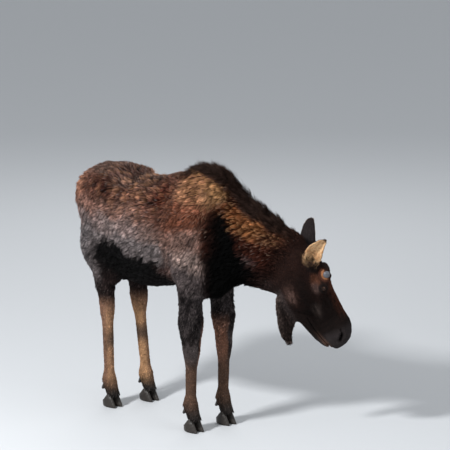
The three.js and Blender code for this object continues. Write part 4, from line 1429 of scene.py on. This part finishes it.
def eye_material(look):
    """Wet eye: a clear film over a dark brown iris, so it shows one sharp light."""
    m, tree = material("wet eye")
    gaze = node(tree, "ShaderNodeAttribute", {"attribute_name": "gaze"}).outputs["Vector"]

    def off_centre(wide, high, inner, outer):
        """0 inside an oval in the middle of the eye and 1 outside, between these shares of its size."""
        by = {"operation": "MULTIPLY", 1: (1 / wide, 1 / high, 0)}
        oval = node(tree, "ShaderNodeVectorMath", by, {0: gaze})
        far = node(tree, "ShaderNodeVectorMath", {"operation": "LENGTH"}, {0: oval.outputs[0]})
        limits = {"From Min": inner, "From Max": outer}
        return node(tree, "ShaderNodeMapRange", limits, {"Value": far.outputs["Value"]}).outputs[0]

    fleck = node(tree, "ShaderNodeTexNoise", {"Scale": 9.0, "Detail": 4.0}, {"Vector": gaze})
    browns = {"data_type": "RGBA", 6: (*look.iris, 1), 7: (*look.fleck, 1)}
    iris = node(tree, "ShaderNodeMix", browns, {0: fleck.outputs[0]})
    # The pupil is a level oval, wider than it is high.
    pupil = {0: off_centre(0.42, 0.24, 0.85, 1.1), 7: iris.outputs[2]}
    dark = {"data_type": "RGBA", 6: (*linear("#050506"), 1)}
    with_pupil = node(tree, "ShaderNodeMix", dark, pupil)
    # Round the iris the white of the eye is nearly black-brown.
    white = {0: off_centre(0.66, 0.66, 0.95, 1.12), 6: with_pupil.outputs[2]}
    brown = {"data_type": "RGBA", 7: (*linear("#140c09"), 1)}
    whole = node(tree, "ShaderNodeMix", brown, white)
    finish_material(
        tree,
        Base_Color=whole.outputs[2],
        Roughness=0.5,
        IOR=1.38,
        Specular_IOR_Level=0.0,
        Coat_Weight=0.5,
        Coat_Roughness=0.03,
    )
    return m


class ScarLook(bpy.types.PropertyGroup):
    radius: bpy.props.FloatProperty(
        name="Radius",
        description="Radius of the bare bone",
        default=0.0225,
        min=0.01,
        max=0.03,
        unit="LENGTH",
    )
    dark: swatch("Dark bone", "The darker clouds of the healing bone", "#34333a")
    light: swatch("Light bone", "The paler clouds of the healing bone", "#676a72")


# The steps of a scar's face towards its middle: how far in, and how far up.
SCAR_STEPS = ((0.0030, 0.0026), (0.004, 0.0022), (0.005, 0.0020), (0.006, 0.0010))
SCAR_HEIGHT, SCAR_LIFT = 0.030, 0.024


def dome():
    """Raises the selected disc in steps."""
    for inset, lift in SCAR_STEPS:
        bpy.ops.mesh.inset(thickness=inset)
        bpy.ops.transform.translate(value=(0, 0, lift))


class MOOSE_OT_antler_scars(bpy.types.Operator):
    """The bare bone discs that are left where the antlers were shed"""

    bl_idname = "moose.antler_scars"
    bl_label = "Antler scars"

    def execute(self, context):
        look = context.scene.moose_scars
        bone = bone_material(look)
        for side in (-1, 1):
            name = f"antler_scar_{SIDES[side > 0]}"
            size = dict(radius=look.radius, depth=SCAR_HEIGHT)
            o = added(bpy.ops.mesh.primitive_cylinder_add, name, vertices=44, **size)
            me = o.data
            edit(o, dome, np.array([p.normal.z > 0.9 for p in me.polygons]))
            modify(o, "BEVEL", width=0.0022, segments=3, limit_method="ANGLE", angle_limit=1.0)
            modify(o, "SUBSURF", levels=1, render_levels=1)
            points, n = places(me), normals(me)
            grain = 0.0004 * waves(points, 0.004, 31 + side) + 0.0008 * waves(points, 0.013, 33 + side)
            put(me, points + n * grain[:, None])
            aim = unit(of_side(SCAR_FACES, side))
            across = unit(DOWN_FACE - aim * (DOWN_FACE @ aim))
            centre = POLL + of_side(SCAR_AT, side) + aim * SCAR_LIFT
            placed(o, [across, np.cross(aim, across), aim], centre)
            smooth_faces(o)
            me.materials.append(bone)
            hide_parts(f"pedicle_{SIDES[side > 0]}")
            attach(o, "root")
        return {"FINISHED"}


def bone_material(look):
    """Healing bone: a dense blue-grey disc with a dull shine, clouded and pitted."""
    m, tree = material("healed antler bone")
    # Pits are about 2 mm apart, and clouds about a centimetre wide.
    place = node(tree, "ShaderNodeTexCoord")
    pits = node(tree, "ShaderNodeTexVoronoi", {"Scale": 420.0}, {"Vector": place.outputs["Object"]})
    cloud = node(
        tree, "ShaderNodeTexNoise", {"Scale": 90.0, "Detail": 3.0}, {"Vector": place.outputs["Object"]}
    )
    greys = {"data_type": "RGBA", 6: (*look.dark, 1), 7: (*look.light, 1)}
    tone = node(tree, "ShaderNodeMix", greys, {0: cloud.outputs[0]})
    bump = node(tree, "ShaderNodeBump", {"Strength": 0.4, "Distance": 0.001}, {"Height": pits.outputs[0]})
    finish_material(tree, Base_Color=tone.outputs[2], Roughness=0.38, Normal=bump.outputs[0])
    return m


class FootSizes(bpy.types.PropertyGroup):
    ring: bpy.props.FloatProperty(
        name="Growth rings",
        description="Distance between the growth rings of the hooves",
        default=0.0055,
        unit="LENGTH",
    )


CROWN_BAND, CROWN_RISE, CROWN_NARROWS = 0.024, 0.016, 0.38  # the top of the horn, where hair covers it
HEEL_DROP, SOLE_EDGE = 0.42, 0.012  # how much lower the heel is than the toe, above the edge of the sole
RING_SLANT = (0.28, 0, 1)
RING_DEPTH, HORN_WEAR = 0.00045, 0.0004
HORN_GRAIN = {"hoof": 0.0030, "dewclaw": 0.0020}  # size of the faces


def shape_claw(points, lowest):
    """Domes the top of a claw under the hair, and lowers its heel."""
    top = points[:, 2].max()
    crown = ramp(points[:, 2], top - CROWN_BAND, top)
    inwards = points.mean(0)[:2] - points[:, :2]
    reach = np.linalg.norm(inwards, axis=1)
    points[:, 2] += CROWN_RISE * crown * (1 - reach / reach.max())
    points[:, :2] += inwards * CROWN_NARROWS * crown[:, None]
    heel = ramp(points[:, 0], points[:, 0].mean() + 0.01, points[:, 0].min())
    points[:, 2] -= HEEL_DROP * heel * np.maximum(points[:, 2] - lowest - SOLE_EDGE, 0)


class MOOSE_OT_feet(bpy.types.Operator):
    """Cloven hooves and dewclaws, rounded and ringed like real horn"""

    bl_idname = "moose.feet"
    bl_label = "Hooves and dewclaws"

    def execute(self, context):
        horn = horn_material()
        ring = context.scene.moose_feet.ring
        for claw in CLAWS:
            for kind, grain in HORN_GRAIN.items():
                name = f"{kind}_{claw}"
                o = copy_of([name], f"{kind}_horn_{claw}")
                me = o.data
                modify(o, "REMESH", mode="VOXEL", voxel_size=grain)
                points = places(me)
                lowest = points[:, 2].min()
                points = relaxed(points, edges_of(me), 22, np.full(len(points), 0.6))
                shape_claw(points, lowest)
                put(me, points)
                n = normals(me)
                wall = ramp(np.abs(n[:, 2]), 0.9, 0.5)
                turns = points @ unit(RING_SLANT) / ring
                ripple = RING_DEPTH * np.sin(math.tau * turns + 1.5 * waves(points, 0.03, 41))
                ripple += HORN_WEAR * waves(points, 0.012, 43)
                points += n * (ripple * wall)[:, None]
                points[:, 2] += (lowest - points[:, 2].min()) * ramp(points[:, 2], 0.03, 0.0)
                put(me, points)
                smooth_faces(o)
                me.materials.append(horn)
                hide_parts(name)
                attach(o, "root")
        return {"FINISHED"}


def horn_material():
    """Hoof horn: black-brown keratin, satin, with paler streaks down its wall."""
    m, tree = material("hoof horn")
    # Streaks are 4 mm wide and 3 cm long. Real ones are finer than a millimetre, too fine to show.
    place = node(tree, "ShaderNodeTexCoord")
    thin = {"Scale": (1.0, 1.0, 0.12)}
    stretch = node(tree, "ShaderNodeMapping", thin, {"Vector": place.outputs["Object"]})
    streaks = node(
        tree, "ShaderNodeTexNoise", {"Scale": 260.0, "Detail": 4.0}, {"Vector": stretch.outputs[0]}
    )
    browns = {"data_type": "RGBA", 6: (*linear("#151211"), 1), 7: (*linear("#37312c"), 1)}
    tone = node(tree, "ShaderNodeMix", browns, {0: streaks.outputs[0]})
    bump = node(tree, "ShaderNodeBump", {"Strength": 0.3, "Distance": 0.001}, {"Height": streaks.outputs[0]})
    finish_material(
        tree, Base_Color=tone.outputs[2], Roughness=0.45, Specular_IOR_Level=0.35, Normal=bump.outputs[0]
    )
    return m


# ---------------------------------------------------------------- stage


# The camera: where it stands, in degrees and metres, how wide its view is at the animal, and how far its
# aim is to the right of the body's origin and above it.
AZIMUTH, ELEVATION, DISTANCE = 48, 13, 24.0
SPAN = 2.903
AIM_RIGHT, AIM_UP = 0.116, 1.299
SENSOR = 36
# Each lamp: its place from the middle of the animal, its size and its power.
LAMPS = {
    "key": ((0.0, -5.7, 4.8), 0.9, 620.0),
    "fill": ((6.0, 1.0, 3.0), 5.0, 90.0),
    "rim": ((-4.5, 4.0, 4.0), 4.0, 95.0),
}


class MOOSE_OT_stage(bpy.types.Operator):
    """Pale floor, soft light and the camera"""

    bl_idname = "moose.stage"
    bl_label = "Stage"

    def execute(self, context):
        floor = added(bpy.ops.mesh.primitive_plane_add, "floor", size=60)
        m, tree = material("pale studio floor")
        finish_material(tree, Base_Color=(0.58, 0.60, 0.62, 1), Roughness=0.9)
        floor.data.materials.append(m)

        # A pale sky that lights softly, and looks brighter to the camera and in reflections.
        world = bpy.data.worlds.new("studio")
        world.use_nodes = True
        tree = world.node_tree
        tree.nodes.clear()
        sight = node(tree, "ShaderNodeLightPath")
        seen = node(tree, "ShaderNodeBackground", {"Color": (0.80, 0.82, 0.84, 1), "Strength": 1.0})
        light = node(tree, "ShaderNodeBackground", {"Color": (0.93, 0.96, 1.0, 1), "Strength": 0.50})
        shown = sight.outputs["Is Camera Ray"]
        for ray in ("Is Glossy Ray", "Is Transmission Ray"):
            either = {0: shown, 1: sight.outputs[ray]}
            shown = node(tree, "ShaderNodeMath", {"operation": "MAXIMUM"}, either).outputs[0]
        both = node(tree, "ShaderNodeMixShader", links={0: shown, 1: light.outputs[0], 2: seen.outputs[0]})
        node(tree, "ShaderNodeOutputWorld", links={"Surface": both.outputs[0]})
        context.scene.world = world

        lo, hi = CAD_BOX
        centre = (lo + hi) / 2
        for name, (place, size, power) in LAMPS.items():
            lamp = bpy.data.lights.new(name, "AREA")
            lamp.size, lamp.energy = size, power
            o = bpy.data.objects.new(name, lamp)
            o.location = centre + Vector(place)
            o.rotation_euler = (centre - o.location).to_track_quat("-Z", "Y").to_euler()
            context.scene.collection.objects.link(o)

        azimuth, elevation = math.radians(AZIMUTH), math.radians(ELEVATION)
        right = Vector((math.cos(azimuth), math.sin(azimuth), 0))
        back = Vector((math.sin(azimuth), -math.cos(azimuth), 0)) * math.cos(elevation)
        back.z = math.sin(elevation)
        aim = Vector(BELOW_HUMP) + right * AIM_RIGHT + back.cross(right) * AIM_UP
        camera = bpy.data.cameras.new("camera")
        camera.sensor_width = SENSOR
        camera.lens = SENSOR * DISTANCE / SPAN
        o = bpy.data.objects.new("camera", camera)
        o.location = aim + back * DISTANCE
        o.rotation_euler = (-back).to_track_quat("-Z", "Y").to_euler()
        context.scene.collection.objects.link(o)
        context.scene.camera = o
        context.scene.view_settings.view_transform = "Standard"
        return {"FINISHED"}


class MOOSE_PT_panel(bpy.types.Panel):
    """The steps of the model, in order"""

    bl_label = "Moose"
    bl_idname = "MOOSE_PT_panel"
    bl_space_type = "VIEW_3D"
    bl_region_type = "UI"
    bl_category = "Moose"

    def draw(self, context):
        for operator in OPERATORS:
            self.layout.operator(operator.bl_idname)
        for name, group in GROUPS:
            box = self.layout.box()
            for key in group.__annotations__:
                box.prop(getattr(context.scene, name), key)


OPERATORS = (
    MOOSE_OT_stage,
    MOOSE_OT_skin,
    MOOSE_OT_coat,
    MOOSE_OT_eyes,
    MOOSE_OT_antler_scars,
    MOOSE_OT_feet,
)
GROUPS = (
    ("moose_skin", SkinSizes),
    ("moose_colours", CoatColours),
    ("moose_hair", HairSizes),
    ("moose_eyes", EyeLook),
    ("moose_scars", ScarLook),
    ("moose_feet", FootSizes),
)


def register():
    for name, group in GROUPS:
        bpy.utils.register_class(group)
        setattr(bpy.types.Scene, name, bpy.props.PointerProperty(type=group))
    for cls in OPERATORS + (MOOSE_PT_panel,):
        bpy.utils.register_class(cls)


def unregister():
    for cls in (MOOSE_PT_panel,) + OPERATORS[::-1]:
        bpy.utils.unregister_class(cls)
    for name, group in GROUPS[::-1]:
        delattr(bpy.types.Scene, name)
        bpy.utils.unregister_class(group)


def main():
    register()
    for operator in OPERATORS:
        family, name = operator.bl_idname.split(".")
        getattr(getattr(bpy.ops, family), name)()


if __name__ == "__main__":
    main()
